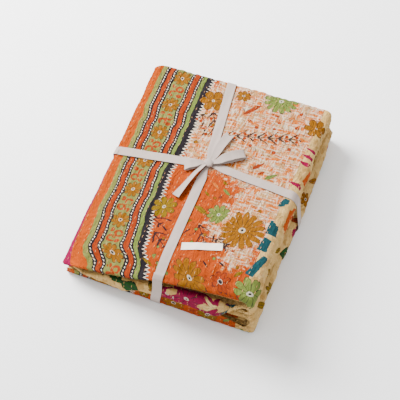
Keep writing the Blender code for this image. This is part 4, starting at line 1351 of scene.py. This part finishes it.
def print_cloth(mesh, flat, reverse):
    """Writes the print's attributes on the cloth's points."""
    sides = (
        (~reverse, FLOWERS, DOTS, LEAVES, PATCHES, True),
        (reverse, BACK_FLOWERS, BACK_DOTS, BACK_LEAVES, BACK_PATCHES, False),
    )
    names = ("flower", "flower_look", "flower_tint", "leaf", "leaf_tint", "patch", "patch_tint", "sprig")
    made = {name: np.zeros((len(flat), 4 if name.endswith("tint") else 3)) for name in names}
    for part, flowers, dots, leaves, patches, daisies in sides:
        here = flat[part]
        values = flower_field(here, flowers, dots, daisies)
        values += leaf_field(here, leaves) + patch_field(here, patches)
        for name, value in zip(names, values):
            made[name][part] = value
    made["sprig"] = sprig_field(flat, SPRIGS) * ~reverse[:, None]
    made["pale"] = pale_field(flat)[:, None]
    made["border"] = border_field(flat)[:, None]
    made["lining"] = (read(LINING, flat[:, 1]) - flat[:, 0])[:, None]
    for name, values in made.items():
        add_attribute(mesh, name, values)


# Materials


def linear(colour):
    """An sRGB hex colour as linear red, green and blue."""
    parts = [int(colour[k : k + 2], 16) / 255.0 for k in (1, 3, 5)]
    return tuple(c / 12.92 if c <= 0.04045 else ((c + 0.055) / 1.055) ** 2.4 for c in parts)


SETTING = {
    "Attribute": "attribute_name",
    "UVMap": "uv_map",
    "Math": "operation",
    "VectorMath": "operation",
    "Mix": "blend_type",
    "TexNoise": "noise_dimensions",
}


def add_node(tree, made, name, kind, setting, inputs):
    """Adds one node with its setting and sets or links its inputs, given in order or by name. A
    text names an earlier node, with its output after a colon, or a colour of the palette."""
    node = tree.nodes.new("ShaderNode" + kind)
    made[name] = node
    if kind == "Mix":
        node.data_type = "RGBA"
        inputs = dict(zip((0, 6, 7), inputs))
    if setting:
        setattr(node, SETTING[kind], setting)
    places = inputs.items() if isinstance(inputs, dict) else enumerate(inputs)
    for place, value in places:
        socket = node.inputs[place]
        if isinstance(value, str) and value.startswith("@"):
            colours = bpy.context.scene.throw_colours
            socket.default_value = tuple(getattr(colours, value[1:])) + (1.0,)
        elif isinstance(value, str):
            source, _, output = value.partition(":")
            outputs = made[source].outputs
            first = 2 if made[source].bl_idname == "ShaderNodeMix" else 0
            tree.links.new(outputs[output] if output else outputs[first], socket)
        elif value is not None:
            socket.default_value = value


def build_material(name, rows):
    """A material whose node tree is a list of rows: name, kind, setting and inputs."""
    material = bpy.data.materials.new(name)
    material.use_nodes = True
    material.node_tree.nodes.clear()
    made = {}
    for row in rows:
        add_node(material.node_tree, made, *row)
    return material


def shader_rows(colour, roughness, gloss, bump=None):
    """The last rows of a matt fibre's material: its shader and the output."""
    inputs = {"Base Color": colour, "Roughness": roughness, "Specular IOR Level": gloss}
    if bump:
        inputs["Normal"] = bump
    return (
        ("shader", "BsdfPrincipled", None, inputs),
        ("out", "OutputMaterial", None, {"Surface": "shader"}),
    )


# Millimetres across and down the flat cloth. A noise's Scale is one over its cells' size, and the
# number before a sine is two pi over its pitch
FLAT_ROWS = (
    ("uv", "UVMap", "flat_cloth", ()),
    ("flat", "VectorMath", "SCALE", {0: "uv", "Scale": 1000.0}),
    ("at", "SeparateXYZ", None, ("flat",)),
    ("shake", "TexNoise", "2D", {"Vector": "flat", "Scale": 0.22, "Detail": 2.0}),
    ("mottle", "TexNoise", "2D", {"Vector": "flat", "Scale": 0.11, "Detail": 4.0, "Roughness": 0.65}),
)


def weave_rows(colour):
    """A plain weave, fine creases and soft wrinkles as height, and the shader over a colour: it gives
    the eye a matt cotton with a broken surface. The threads are 0.3 mm thick and are drawn 1.2 mm
    apart, as coarse as they need to be to show."""
    return (
        ("warp_at", "Math", "MULTIPLY", ("at:X", 5.2)),
        ("warp", "Math", "SINE", ("warp_at",)),
        ("weft_at", "Math", "MULTIPLY", ("at:Y", 5.2)),
        ("weft", "Math", "SINE", ("weft_at",)),
        ("weave", "Math", "MULTIPLY", ("warp", "weft")),
        ("stretch", "VectorMath", "MULTIPLY", ("flat", (0.42, 0.16, 0.0))),
        ("crease", "TexNoise", "2D", {"Vector": "stretch", "Scale": 1.0, "Detail": 4.0, "Roughness": 0.6}),
        ("drape", "VectorMath", "MULTIPLY", ("flat", (0.1, 0.04, 0.0))),
        ("wrinkle", "TexNoise", "2D", {"Vector": "drape", "Scale": 1.0, "Detail": 3.0, "Distortion": 0.6}),
        ("creases", "Math", "MULTIPLY_ADD", ("wrinkle", 1.6, "crease")),
        ("relief", "Math", "MULTIPLY_ADD", ("weave", 0.07, "creases")),
        ("bump", "Bump", None, {"Strength": 0.9, "Distance": 0.0075, "Height": "relief"}),
    ) + shader_rows(colour, 0.9, 0.12, "bump")


def motif_reads(name):
    """Reads a motif's attributes: its colour, x and y in its frame, and 1 where it alone is near."""
    return (
        (name, "Attribute", name, ()),
        (f"{name}_tint", "Attribute", f"{name}_tint", ()),
        (f"{name}_at", "SeparateXYZ", None, (f"{name}:Vector",)),
        (f"{name}_near", "Math", "GREATER_THAN", (f"{name}_at:Z", 0.99)),
    )


def patch_rows(ground):
    """Patches of sewn-on cloth over a colour: boxes that narrow to one end, with shaken edges."""
    return motif_reads("patch") + (
        ("patch_x", "Math", "ABSOLUTE", ("patch_at:X",)),
        ("patch_y", "Math", "ABSOLUTE", ("patch_at:Y",)),
        ("patch_share", "Math", "MULTIPLY_ADD", ("patch_at:X", 0.5, 0.5)),
        ("patch_narrow", "Math", "MULTIPLY", ("patch_share", "patch_tint:Alpha")),
        ("patch_width", "Math", "SUBTRACT", (1.0, "patch_narrow")),
        ("patch_rough", "Math", "MULTIPLY_ADD", ("shake", 0.4, "patch_y")),
        ("patch_edge", "Math", "ADD", ("patch_width", 0.2)),
        ("patch_within", "Math", "LESS_THAN", ("patch_rough", "patch_edge")),
        ("patch_long", "Math", "LESS_THAN", ("patch_x", 1.0)),
        ("patch_part", "Math", "MULTIPLY", ("patch_within", "patch_long")),
        ("patch_on", "Math", "MULTIPLY", ("patch_part", "patch_near")),
        ("patched", "Mix", "MIX", ("patch_on", ground, "patch_tint")),
    )


def leaf_rows():
    """Leaves between two parabolas, with a dark rim and rib."""
    return motif_reads("leaf") + (
        ("leaf_square", "Math", "MULTIPLY", ("leaf_at:X", "leaf_at:X")),
        ("leaf_edge", "Math", "SUBTRACT", (1.0, "leaf_square")),
        ("leaf_y", "Math", "ABSOLUTE", ("leaf_at:Y",)),
        ("leaf_within", "Math", "LESS_THAN", ("leaf_y", "leaf_edge")),
        ("leaf_on", "Math", "MULTIPLY", ("leaf_within", "leaf_near")),
        ("leaf_inner", "Math", "SUBTRACT", ("leaf_edge", 0.22)),
        ("leaf_rim", "Math", "GREATER_THAN", ("leaf_y", "leaf_inner")),
        ("leaf_rib", "Math", "LESS_THAN", ("leaf_y", 0.1)),
        ("leaf_line", "Math", "MAXIMUM", ("leaf_rim", "leaf_rib")),
        ("leaf_dark", "Math", "MULTIPLY", ("leaf_line", 0.55)),
        ("leaf_colour", "Mix", "MIX", ("leaf_dark", "leaf_tint", "@slate")),
        ("leaved", "Mix", "MIX", ("leaf_on", "patched", "leaf_colour")),
    )


def flower_rows():
    """Flowers whose reach is a power of a cosine of the angle, with dark rims, clefts and eyes."""
    return motif_reads("flower") + (
        ("flower_look", "Attribute", "flower_look", ()),
        ("look", "SeparateXYZ", None, ("flower_look:Vector",)),
        ("flower_flat", "CombineXYZ", None, ("flower_at:X", "flower_at:Y")),
        ("far", "VectorMath", "LENGTH", ("flower_flat",)),
        ("angle", "Math", "ARCTAN2", ("flower_at:Y", "flower_at:X")),
        ("turn", "Math", "MULTIPLY", ("angle", "look:X")),
        ("swing", "Math", "COSINE", ("turn",)),
        ("petal", "Math", "ABSOLUTE", ("swing",)),
        ("petal_round", "Math", "POWER", ("petal", 0.4)),
        ("petal_reach", "Math", "MULTIPLY_ADD", ("petal_round", 0.56, 0.38)),
        ("reach", "Math", "MULTIPLY_ADD", ("shake", 0.16, "petal_reach")),
        ("flower_within", "Math", "LESS_THAN", ("far:Value", "reach")),
        ("flower_on", "Math", "MULTIPLY", ("flower_within", "flower_near")),
        ("rim_at", "Math", "SUBTRACT", ("reach", "look:Z")),
        ("rim", "Math", "GREATER_THAN", ("far:Value", "rim_at")),
        ("cleft", "Math", "LESS_THAN", ("petal", 0.2)),
        ("line", "Math", "MAXIMUM", ("rim", "cleft")),
        ("flower_dark", "Math", "MULTIPLY", ("line", 0.85)),
        ("petals", "Mix", "MIX", ("flower_dark", "flower_tint", "@slate")),
        ("eye", "Math", "LESS_THAN", ("far:Value", "look:Y")),
        ("eye_part", "Math", "MULTIPLY", ("eye", 0.6)),
        ("eyed", "Mix", "MIX", ("eye_part", "petals", "@white")),
        ("pupil_share", "Math", "MULTIPLY", ("look:Y", 3.0)),
        ("pupil_size", "Math", "MULTIPLY", ("look:Y", "pupil_share")),
        ("pupil", "Math", "LESS_THAN", ("far:Value", "pupil_size")),
        ("flower_colour", "Mix", "MIX", ("pupil", "eyed", "@slate")),
        ("bloomed", "Mix", "MIX", ("flower_on", "leaved", "flower_colour")),
    )


def motif_rows(ground):
    """Patches, leaves and flowers, one over the other, over a colour. Their last one is bloomed."""
    return patch_rows(ground) + leaf_rows() + flower_rows()


def stripe_rows():
    """The border's stripes by a stepped ramp over their span, then its chains, scrolls and teeth."""
    rows = [
        ("border", "Attribute", "border", ()),
        ("shake_off", "Math", "SUBTRACT", ("shake", 0.5)),
        ("in_wavy", "Math", "MULTIPLY_ADD", ("shake_off", 1.8, "border:Fac")),
        ("span", "Math", "DIVIDE", ("in_wavy", STRIPES_SPAN)),
        ("stripes", "ValToRGB", None, ("span",)),
        ("slant", "Math", "MULTIPLY_ADD", ("in_wavy", 0.7, "at:Y")),
        ("links", "Math", "DIVIDE", ("slant", CHAIN_PITCH)),
        ("link", "Math", "FRACT", ("links",)),
        ("dash", "Math", "LESS_THAN", ("link", 0.5)),
    ]
    on = None
    for k, centre in enumerate(CHAIN_CENTRES):
        rows.append((f"chain_{k}", "Math", "COMPARE", ("in_wavy", centre, CHAIN_WIDTH)))
        if on:
            rows.append((f"chains_{k}", "Math", "MAXIMUM", (on, f"chain_{k}")))
        on = f"chains_{k}" if on else "chain_0"
    start, end, tooth = TEETH
    rows += [
        ("chain_dash", "Math", "MULTIPLY", (on, "dash")),
        ("chained", "Mix", "MIX", ("chain_dash", "stripes", "@white")),
        ("scroll_from", "Math", "SUBTRACT", ("at:Y", DAISY_STARTS[0])),
        ("scroll_steps", "Math", "DIVIDE", ("scroll_from", DAISY_PITCH)),
        ("scroll_step", "Math", "FRACT", ("scroll_steps",)),
        ("scroll_mid", "Math", "SUBTRACT", ("scroll_step", 0.5)),
        ("scroll_y", "Math", "MULTIPLY", ("scroll_mid", DAISY_PITCH)),
        ("scroll_x", "Math", "SUBTRACT", ("in_wavy", DAISY_ACROSS)),
    ]
    on = None
    for k, (x, y, radius) in enumerate(SCROLLS):
        rows += [
            (f"ring_x_{k}", "Math", "SUBTRACT", ("scroll_x", x)),
            (f"ring_y_{k}", "Math", "SUBTRACT", ("scroll_y", y)),
            (f"ring_at_{k}", "CombineXYZ", None, (f"ring_x_{k}", f"ring_y_{k}")),
            (f"ring_far_{k}", "VectorMath", "LENGTH", (f"ring_at_{k}",)),
            (f"ring_{k}", "Math", "COMPARE", (f"ring_far_{k}:Value", radius, SCROLL_LINE)),
        ]
        if on:
            rows.append((f"rings_{k}", "Math", "MAXIMUM", (on, f"ring_{k}")))
        on = f"rings_{k}" if on else "ring_0"
    rows += [
        ("scroll_broken", "Math", "GREATER_THAN", ("mottle", 0.42)),
        ("scroll_band", "Math", "COMPARE", ("in_wavy", DAISY_ACROSS, SCROLL_BAND)),
        ("scroll_part", "Math", "MULTIPLY", ("scroll_broken", "scroll_band")),
        ("scroll_on", "Math", "MULTIPLY", ("scroll_part", on)),
        ("scrolled", "Mix", "MIX", ("scroll_on", "chained", "@coral")),
        ("teeth_at", "Math", "DIVIDE", ("at:Y", tooth)),
        ("tooth", "Math", "FRACT", ("teeth_at",)),
        ("tooth_off", "Math", "SUBTRACT", ("tooth", 0.5)),
        ("tooth_side", "Math", "ABSOLUTE", ("tooth_off",)),
        ("tooth_tip", "Math", "MULTIPLY_ADD", ("tooth_side", 2.0 * (end - start), start)),
        ("tooth_on", "Math", "LESS_THAN", ("in_wavy", "tooth_tip")),
        ("toothed", "Mix", "MIX", ("tooth_on", "@white", "scrolled")),
        ("tooth_edge", "Math", "ADD", ("tooth_tip", 2.0)),
        ("border_on", "Math", "LESS_THAN", ("in_wavy", "tooth_edge")),
    ]
    return tuple(rows)


# The worn ground of the printed ends: orange, or pale with what is left of its orange. Its bare
# threads are 0.3 mm thick and are drawn 3 mm apart, as coarse as they need to be to show
GROUND_ROWS = (
    ("pale", "Attribute", "pale", ()),
    ("pale_rough", "Math", "SUBTRACT", ("mottle", 0.5)),
    ("pale_at", "Math", "MULTIPLY_ADD", ("pale_rough", 60.0, "pale:Fac")),
    ("pale_soft", "Math", "MULTIPLY_ADD", ("pale_at", 0.12, 0.5)),
    ("pale_on", "Math", "MAXIMUM", ("pale_soft", 0.0)),
    ("pale_share", "Math", "MINIMUM", ("pale_on", 1.0)),
    ("print_at", "VectorMath", "MULTIPLY", ("flat", (0.045, 0.11, 0.0))),
    ("fleck", "TexNoise", "2D", {"Vector": "print_at", "Scale": 1.0, "Detail": 5.0, "Roughness": 0.62}),
    ("fleck_off", "Math", "SUBTRACT", ("fleck", 0.5)),
    ("fleck_soft", "Math", "MULTIPLY_ADD", ("fleck_off", 6.0, 0.62)),
    ("fleck_share", "Math", "MINIMUM", ("fleck_soft", 0.95)),
    ("fleck_on", "Math", "MAXIMUM", ("fleck_share", 0.0)),
    ("thread_at", "VectorMath", "MULTIPLY", ("flat", (0.36, 0.06, 0.0))),
    ("thread", "TexNoise", "2D", {"Vector": "thread_at", "Scale": 1.0, "Detail": 2.0}),
    ("thread_line", "Math", "GREATER_THAN", ("thread", 0.58)),
    ("thread_on", "Math", "MULTIPLY", ("thread_line", 0.5)),
    ("worn", "Mix", "MIX", ("fleck_on", "@pale", "@coral_pale")),
    ("cross_at", "VectorMath", "MULTIPLY", ("flat", (0.05, 0.34, 0.0))),
    ("cross", "TexNoise", "2D", {"Vector": "cross_at", "Scale": 1.0, "Detail": 2.0}),
    ("cross_line", "Math", "GREATER_THAN", ("cross", 0.57)),
    ("cross_on", "Math", "MULTIPLY", ("cross_line", 0.5)),
    ("worn_threads", "Mix", "MIX", ("thread_on", "worn", "@white")),
    ("worn_lines", "Mix", "MIX", ("cross_on", "worn_threads", "@white")),
    ("deep", "Mix", "MIX", ("mottle", "@orange", "@orange_deep")),
    ("grounds", "Mix", "MIX", ("pale_share", "deep", "worn_lines")),
    ("scrawl", "TexNoise", "2D", {"Vector": "flat", "Scale": 0.085, "Detail": 2.0, "Distortion": 0.8}),
    ("scrawl_line", "Math", "COMPARE", ("scrawl", 0.5, 0.014)),
    ("scrawl_where", "Math", "GREATER_THAN", ("mottle", 0.5)),
    ("scrawl_part", "Math", "MULTIPLY", ("scrawl_line", "scrawl_where")),
    ("scrawl_on", "Math", "MULTIPLY", ("scrawl_part", 0.75)),
    ("field", "Mix", "MIX", ("scrawl_on", "grounds", "@slate")),
)

# Twigs: a stem with slanted arms in pairs and a berry by each, as they repeat along it
SPRIG_ROWS = (
    ("sprig", "Attribute", "sprig", ()),
    ("sprig_at", "SeparateXYZ", None, ("sprig:Vector",)),
    ("sprig_steps", "Math", "DIVIDE", ("sprig_at:X", 16.0)),
    ("sprig_step", "Math", "FRACT", ("sprig_steps",)),
    ("sprig_y", "Math", "ABSOLUTE", ("sprig_at:Y",)),
    ("arm_bend", "Math", "MULTIPLY_ADD", ("shake", 5.0, -2.5)),
    ("arm", "Math", "MULTIPLY_ADD", ("sprig_step", 13.0, "arm_bend")),
    ("arm_far", "Math", "SUBTRACT", ("sprig_y", "arm")),
    ("arm_off", "Math", "ABSOLUTE", ("arm_far",)),
    ("arm_thick", "Math", "MULTIPLY_ADD", ("sprig_step", -1.8, 2.4)),
    ("arm_line", "Math", "LESS_THAN", ("arm_off", "arm_thick")),
    ("stem_line", "Math", "LESS_THAN", ("sprig_y", 0.8)),
    ("twig", "Math", "MAXIMUM", ("arm_line", "stem_line")),
    ("twig_on", "Math", "GREATER_THAN", ("sprig_at:Z", 0.99)),
    ("twig_part", "Math", "MULTIPLY", ("twig", "twig_on")),
    ("twig_dark", "Math", "MULTIPLY", ("twig_part", 0.95)),
    ("berry_x", "Math", "MULTIPLY_ADD", ("sprig_step", 16.0, -12.5)),
    ("berry_y", "Math", "SUBTRACT", ("sprig_y", 4.6)),
    ("berry_flat", "CombineXYZ", None, ("berry_x", "berry_y")),
    ("berry_far", "VectorMath", "LENGTH", ("berry_flat",)),
    ("berry", "Math", "LESS_THAN", ("berry_far:Value", 2.8)),
    ("berry_on", "Math", "MULTIPLY", ("berry", "twig_on")),
)

# The cream cloth beyond the seam, and of the reverse: faded print in mustard and coral
CREAM_ROWS = (
    ("cream_at", "VectorMath", "MULTIPLY", ("flat", (0.07, 0.045, 0.0))),
    ("cream_print", "TexNoise", "2D", {"Vector": "cream_at", "Scale": 1.0, "Detail": 4.0, "Roughness": 0.6}),
    ("cream_off", "Math", "SUBTRACT", ("cream_print", 0.57)),
    ("cream_soft", "Math", "MULTIPLY", ("cream_off", 14.0)),
    ("cream_high", "Math", "MINIMUM", ("cream_soft", 0.4)),
    ("cream_on", "Math", "MAXIMUM", ("cream_high", 0.0)),
    ("cream_tone", "Mix", "MIX", ("mottle", "@cream", "@cream_deep")),
    ("cream_ground", "Mix", "MIX", ("cream_on", "cream_tone", "@mustard")),
)


def obverse_rows():
    """Block-printed cotton, woven plain and printed by hand: stripes, a worn field and flowers, with
    slightly shaken edges, so that the eye sees an old printed cloth and no clean computer lines."""
    twigs = (
        ("twigged", "Mix", "MIX", ("twig_dark", "field", "@slate")),
        ("berried", "Mix", "MIX", ("berry_on", "twigged", "@coral")),
        ("bordered", "Mix", "MIX", ("border_on", "berried", "toothed")),
        ("seam_on", "Math", "GREATER_THAN", ("border:Fac", PRINT_EDGE)),
        ("ground", "Mix", "MIX", ("seam_on", "bordered", "cream_ground")),
    )
    lining = (
        ("lining", "Attribute", "lining", ()),
        ("lining_on", "Math", "GREATER_THAN", ("lining:Fac", 0.0)),
        ("cloth", "Mix", "MIX", ("lining_on", "bloomed", "@magenta_pale")),
    )
    printed = FLAT_ROWS + stripe_rows() + GROUND_ROWS + SPRIG_ROWS + CREAM_ROWS + twigs
    return printed + motif_rows("ground") + lining + weave_rows("cloth")


def reverse_rows():
    """The backing cotton, dyed cream, woven plain and printed with large flowers that have faded: it
    gives the eye a softer, warmer cloth under the print, with magenta and leaf green in its folds."""
    return FLAT_ROWS + CREAM_ROWS + motif_rows("cream_ground") + weave_rows("bloomed")


def tape_rows(colour):
    """Cotton tape, woven in a fine twill: slanted ribs and a matt, slightly soft surface, so that the
    eye tells it from the printed cloth. The ribs are 1.3 mm apart along the tape, twice as coarse as
    the real ones, so that they show. The label is of the same weave."""
    return (
        ("uv", "UVMap", "flat_cloth", ()),
        ("flat", "VectorMath", "SCALE", {0: "uv", "Scale": 1000.0}),
        ("at", "SeparateXYZ", None, ("flat",)),
        ("slope", "Math", "MULTIPLY_ADD", ("at:X", 1.7, "at:Y")),
        ("rib_at", "Math", "MULTIPLY", ("slope", 5.0)),
        ("rib", "Math", "SINE", ("rib_at",)),
        ("soft", "TexNoise", "2D", {"Vector": "flat", "Scale": 0.16, "Detail": 4.0}),
        ("relief", "Math", "MULTIPLY_ADD", ("rib", 0.1, "soft")),
        ("bump", "Bump", None, {"Strength": 0.4, "Distance": 0.0008, "Height": "relief"}),
        ("tone", "Mix", "MULTIPLY", (0.12, colour, "soft")),
    ) + shader_rows("tone", 0.82, 0.15, "bump")


def plain_rows(colour, roughness):
    """One even, matt colour. As cotton thread, twisted from plies too thin to show, it gives the eye
    pale stitches that catch the light as small rounds. As uncoated paper it gives a soft floor."""
    return shader_rows(colour, roughness, 0.15)


def set_ramp(material):
    """Gives the stripes' ramp its steps."""
    ramp = next(n for n in material.node_tree.nodes if n.bl_idname == "ShaderNodeValToRGB").color_ramp
    ramp.interpolation = "CONSTANT"
    palette = bpy.context.scene.throw_colours
    for k, (edge, tint) in enumerate(STRIPES):
        step = ramp.elements[k] if k < 1 else ramp.elements.new(edge / STRIPES_SPAN)
        step.position = edge / STRIPES_SPAN
        step.color = tuple(getattr(palette, tint)) + (1.0,)
    last = ramp.elements[len(ramp.elements) - 1]
    last.color = tuple(palette.slate) + (1.0,)


# Settings that a user may change


def length(name, description, default):
    """A length property in metres."""
    return bpy.props.FloatProperty(name=name, description=description, default=default, unit="LENGTH")


def tint(name, description, default):
    """A colour property, from an sRGB hex colour."""
    return bpy.props.FloatVectorProperty(
        name=name, description=description, default=linear(default), subtype="COLOR", size=3
    )


class ThrowSizes(bpy.types.PropertyGroup):
    """The throw's sizes that a user may change"""

    row_pitch: length("Row pitch", "From one row of stitches to the next", 0.0125)
    stitch_pitch: length("Stitch pitch", "From one stitch to the next in a row", 0.0095)
    stitch_length: length("Stitch length", "How much of a stitch shows", 0.0042)
    thread_radius: length("Thread radius", "Half the thickness of the stitching thread", 0.00027)
    pucker_height: length("Pucker height", "How high the cloth rises between rows", 0.0013)
    tape_thickness: length("Tape thickness", "Thickness of the woven tape", 0.0007)


class ThrowColours(bpy.types.PropertyGroup):
    """The dyes' own colours, which look paler under the studio's bright light"""

    orange: tint("Orange", "Ground of the printed ends", "#B44800")
    orange_deep: tint("Deep orange", "The ground where it took more dye", "#A63A00")
    coral: tint("Coral", "Narrow stripes, scrolls and buds", "#9A3608")
    coral_pale: tint("Pale coral", "What is left of the orange where it is worn", "#CC6412")
    pale: tint("Pale ground", "The worn ground", "#C0905E")
    white: tint("White", "Undyed cotton", "#EADFC8")
    mustard: tint("Mustard", "Most of the flowers", "#8C5600")
    mustard_dull: tint("Dull mustard", "Flowers on the orange ground", "#7E6000")
    leaf_pale: tint("Light green", "Stripes and some flowers", "#707E36")
    band: tint("Band", "Ground under the row of daisies", "#7C7C3C")
    slate: tint("Slate", "Outlines, twigs and saw teeth", "#211C20")
    cream: tint("Cream", "The middle of the throw and its backing", "#EAC884")
    cream_deep: tint("Deep cream", "The same where it is darker", "#BE8C40")
    magenta: tint("Magenta", "Large flowers of the backing", "#8C003A")
    magenta_pale: tint("Light magenta", "The lining at the hem", "#920A44")
    teal: tint("Teal", "Patches by the seam", "#14464C")
    brick: tint("Brick", "A patch on the lower fold", "#601808")
    leaf: tint("Leaf green", "Large leaves", "#184A14")
    tape: tint("Tape", "The woven tape", "#A2938B")
    label: tint("Label", "The sewn label", "#E2D4C6")
    thread: tint("Thread", "The stitching thread", "#D09C68")
    floor: tint("Floor", "The surface under the bundle", "#F5F5F5")


def finish(name, rows):
    """A named material, made once."""
    if name not in _made:
        _made[name] = build_material(name, rows)
    return _made[name]


class MakeCloth(bpy.types.Operator):
    """Makes the folded, quilted cloth with its print"""

    bl_idname = "throw.make_cloth"
    bl_label = "Folded cloth"

    def execute(self, context):
        cloth, _ = the_cloth()
        points, front, back, source = shell(cloth["grid"], SHEET, HEM_INSETS[-1])
        flat = flat_place(cloth).reshape(-1, 2)[source]
        side = np.concatenate([np.zeros(len(front)), np.ones(len(back))])
        printed = finish("block_printed_cotton", obverse_rows())
        set_ramp(printed)
        backing = finish("backing_cotton", reverse_rows())
        piece = mesh_piece(
            "throw_cloth", points, np.concatenate([front, back]), [printed, backing], side, flat
        )
        print_cloth(piece.data, flat, np.arange(len(points)) >= cloth["across"].size)
        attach(piece, "root")
        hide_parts("throw")
        return {"FINISHED"}


class MakeStitches(bpy.types.Operator):
    """Makes the rows of running stitches"""

    bl_idname = "throw.make_stitches"
    bl_label = "Running stitches"

    def execute(self, context):
        points, faces = stitch_arrays(context.scene.throw_sizes)
        thread = finish("cotton_thread", plain_rows("@thread", 0.75))
        piece = mesh_piece("running_stitches", points, faces, [thread])
        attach(piece, "root")
        return {"FINISHED"}


class MakeTapes(bpy.types.Operator):
    """Makes the tape's two runs round the bundle"""

    bl_idname = "throw.make_tapes"
    bl_label = "Tape runs"

    def execute(self, context):
        thickness = context.scene.throw_sizes.tape_thickness / MM
        tape = finish("cotton_tape", tape_rows("@tape"))
        # Name, axis, middle line, knot's place, edges, lift and shares of the width at the knot
        runs = (
            ("tape_across", 0, across_line, KNOT_PLACE[0], (5.0, 282.0), 0.0, (0.55, 0.55)),
            ("tape_along", 1, along_line, KNOT_PLACE[1], (3.0, 377.0), 1.25, (0.4, 0.6)),
        )
        for name, axis, line, knot, edges, lift, ends in runs:
            grid = tape_grid(axis, line, knot, edges, lift, ends, thickness)
            if axis == 0:
                grid = grid[:, ::-1]
            dress(name, grid, thickness, tape)
        return {"FINISHED"}


class MakeBow(bpy.types.Operator):
    """Makes the bow's knot, loops and free ends"""

    bl_idname = "throw.make_bow"
    bl_label = "Bow"

    def execute(self, context):
        thickness = context.scene.throw_sizes.tape_thickness / MM
        tape = finish("cotton_tape", tape_rows("@tape"))
        # Name, table, cup, notch and how it is held
        strips = (
            ("loop_right", LOOP_RIGHT, 0.5, 0.0, "folded"),
            ("loop_left", LOOP_LEFT, 0.5, 0.0, "folded"),
            ("end_up", END_UP, 0.7, 0.45, "laid"),
            ("end_down", END_DOWN, 0.9, 0.0, "laid"),
        )
        for name, table, cup, notch, held in strips:
            dress(name, strip_grid(table, thickness, cup, notch), thickness, tape)
        points, faces, flat = knot_arrays()
        piece = mesh_piece("tied_knot", points, faces, [tape], uv=flat)
        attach(piece, "root")
        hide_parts("knot")
        return {"FINISHED"}


class MakeLabel(bpy.types.Operator):
    """Makes the bare sewn label"""

    bl_idname = "throw.make_label"
    bl_label = "Label"

    def execute(self, context):
        cloth = finish("label_cotton", tape_rows("@label"))
        grid = label_grid()
        dress("label", grid, LABEL_THICK, cloth)
        return {"FINISHED"}


def dress(name, grid, thickness, material):
    """Makes a strip, hangs it on the root body and hides the frame's part of the same name."""
    piece = sheet_piece(name + "_strip", grid, thickness, material)
    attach(piece, "root")
    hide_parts(name)


class MakeStage(bpy.types.Operator):
    """Makes the floor, the lights and the camera"""

    bl_idname = "throw.make_stage"
    bl_label = "Stage"

    def execute(self, context):
        mesh = bpy.data.meshes.new("floor")
        half = FLOOR_SIZE / 2.0
        corners = [(-half, -half, 0.0), (half, -half, 0.0), (half, half, 0.0), (-half, half, 0.0)]
        mesh.from_pydata(corners, [], [(0, 1, 2, 3)])
        mesh.materials.append(finish("pale_paper", plain_rows("@floor", 0.9)))
        floor = bpy.data.objects.new("floor", mesh)
        context.scene.collection.objects.link(floor)
        world = bpy.data.worlds.new("soft_room")
        context.scene.world = world
        world.use_nodes = True
        sky = world.node_tree.nodes["Background"]
        sky.inputs["Color"].default_value = (1.0, 1.0, 1.0, 1.0)
        sky.inputs["Strength"].default_value = SKY_STRENGTH
        for name, size, power, place, tilt in LAMPS:
            light = bpy.data.lights.new(name, "AREA")
            light.shape = "DISK"
            light.size = size
            light.energy = power
            lamp = bpy.data.objects.new(name, light)
            context.scene.collection.objects.link(lamp)
            lamp.location = place
            lamp.rotation_euler = tuple(math.radians(t) for t in tilt)
        camera = bpy.data.cameras.new("camera")
        camera.lens = LENS
        camera.sensor_width = SENSOR
        made = bpy.data.objects.new("camera", camera)
        context.scene.collection.objects.link(made)
        azimuth, elevation = math.radians(VIEW[0]), math.radians(VIEW[1])
        back = Vector(
            (
                math.sin(azimuth) * math.cos(elevation),
                -math.cos(azimuth) * math.cos(elevation),
                math.sin(elevation),
            )
        )
        made.location = Vector(to_row(np.array(VIEW_TARGET))) + back * VIEW[2]
        made.rotation_mode = "QUATERNION"
        made.rotation_quaternion = (-back).to_track_quat("-Z", "Y")
        context.scene.camera = made
        return {"FINISHED"}


class ThrowPanel(bpy.types.Panel):
    """Lists the steps that make the throw, and its settings"""

    bl_idname = "VIEW3D_PT_throw"
    bl_label = "Folded throw"
    bl_space_type = "VIEW_3D"
    bl_region_type = "UI"
    bl_category = "Throw"

    def draw(self, context):
        for group in (context.scene.throw_sizes, context.scene.throw_colours):
            for name in group.__annotations__:
                self.layout.prop(group, name)
        for step in STEPS:
            self.layout.operator("throw." + step)


STEPS = ("make_cloth", "make_stitches", "make_tapes", "make_bow", "make_label", "make_stage")
CLASSES = (
    ThrowSizes,
    ThrowColours,
    MakeCloth,
    MakeStitches,
    MakeTapes,
    MakeBow,
    MakeLabel,
    MakeStage,
    ThrowPanel,
)


def register():
    """Makes the classes and the scene's settings known."""
    for one in CLASSES:
        bpy.utils.register_class(one)
    bpy.types.Scene.throw_sizes = bpy.props.PointerProperty(type=ThrowSizes)
    bpy.types.Scene.throw_colours = bpy.props.PointerProperty(type=ThrowColours)


def unregister():
    """Takes them away again."""
    del bpy.types.Scene.throw_sizes
    del bpy.types.Scene.throw_colours
    for one in reversed(CLASSES):
        bpy.utils.unregister_class(one)


def main():
    """Registers the add-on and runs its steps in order."""
    register()
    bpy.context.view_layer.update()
    for step in STEPS:
        getattr(bpy.ops.throw, step)()


if __name__ == "__main__":
    main()
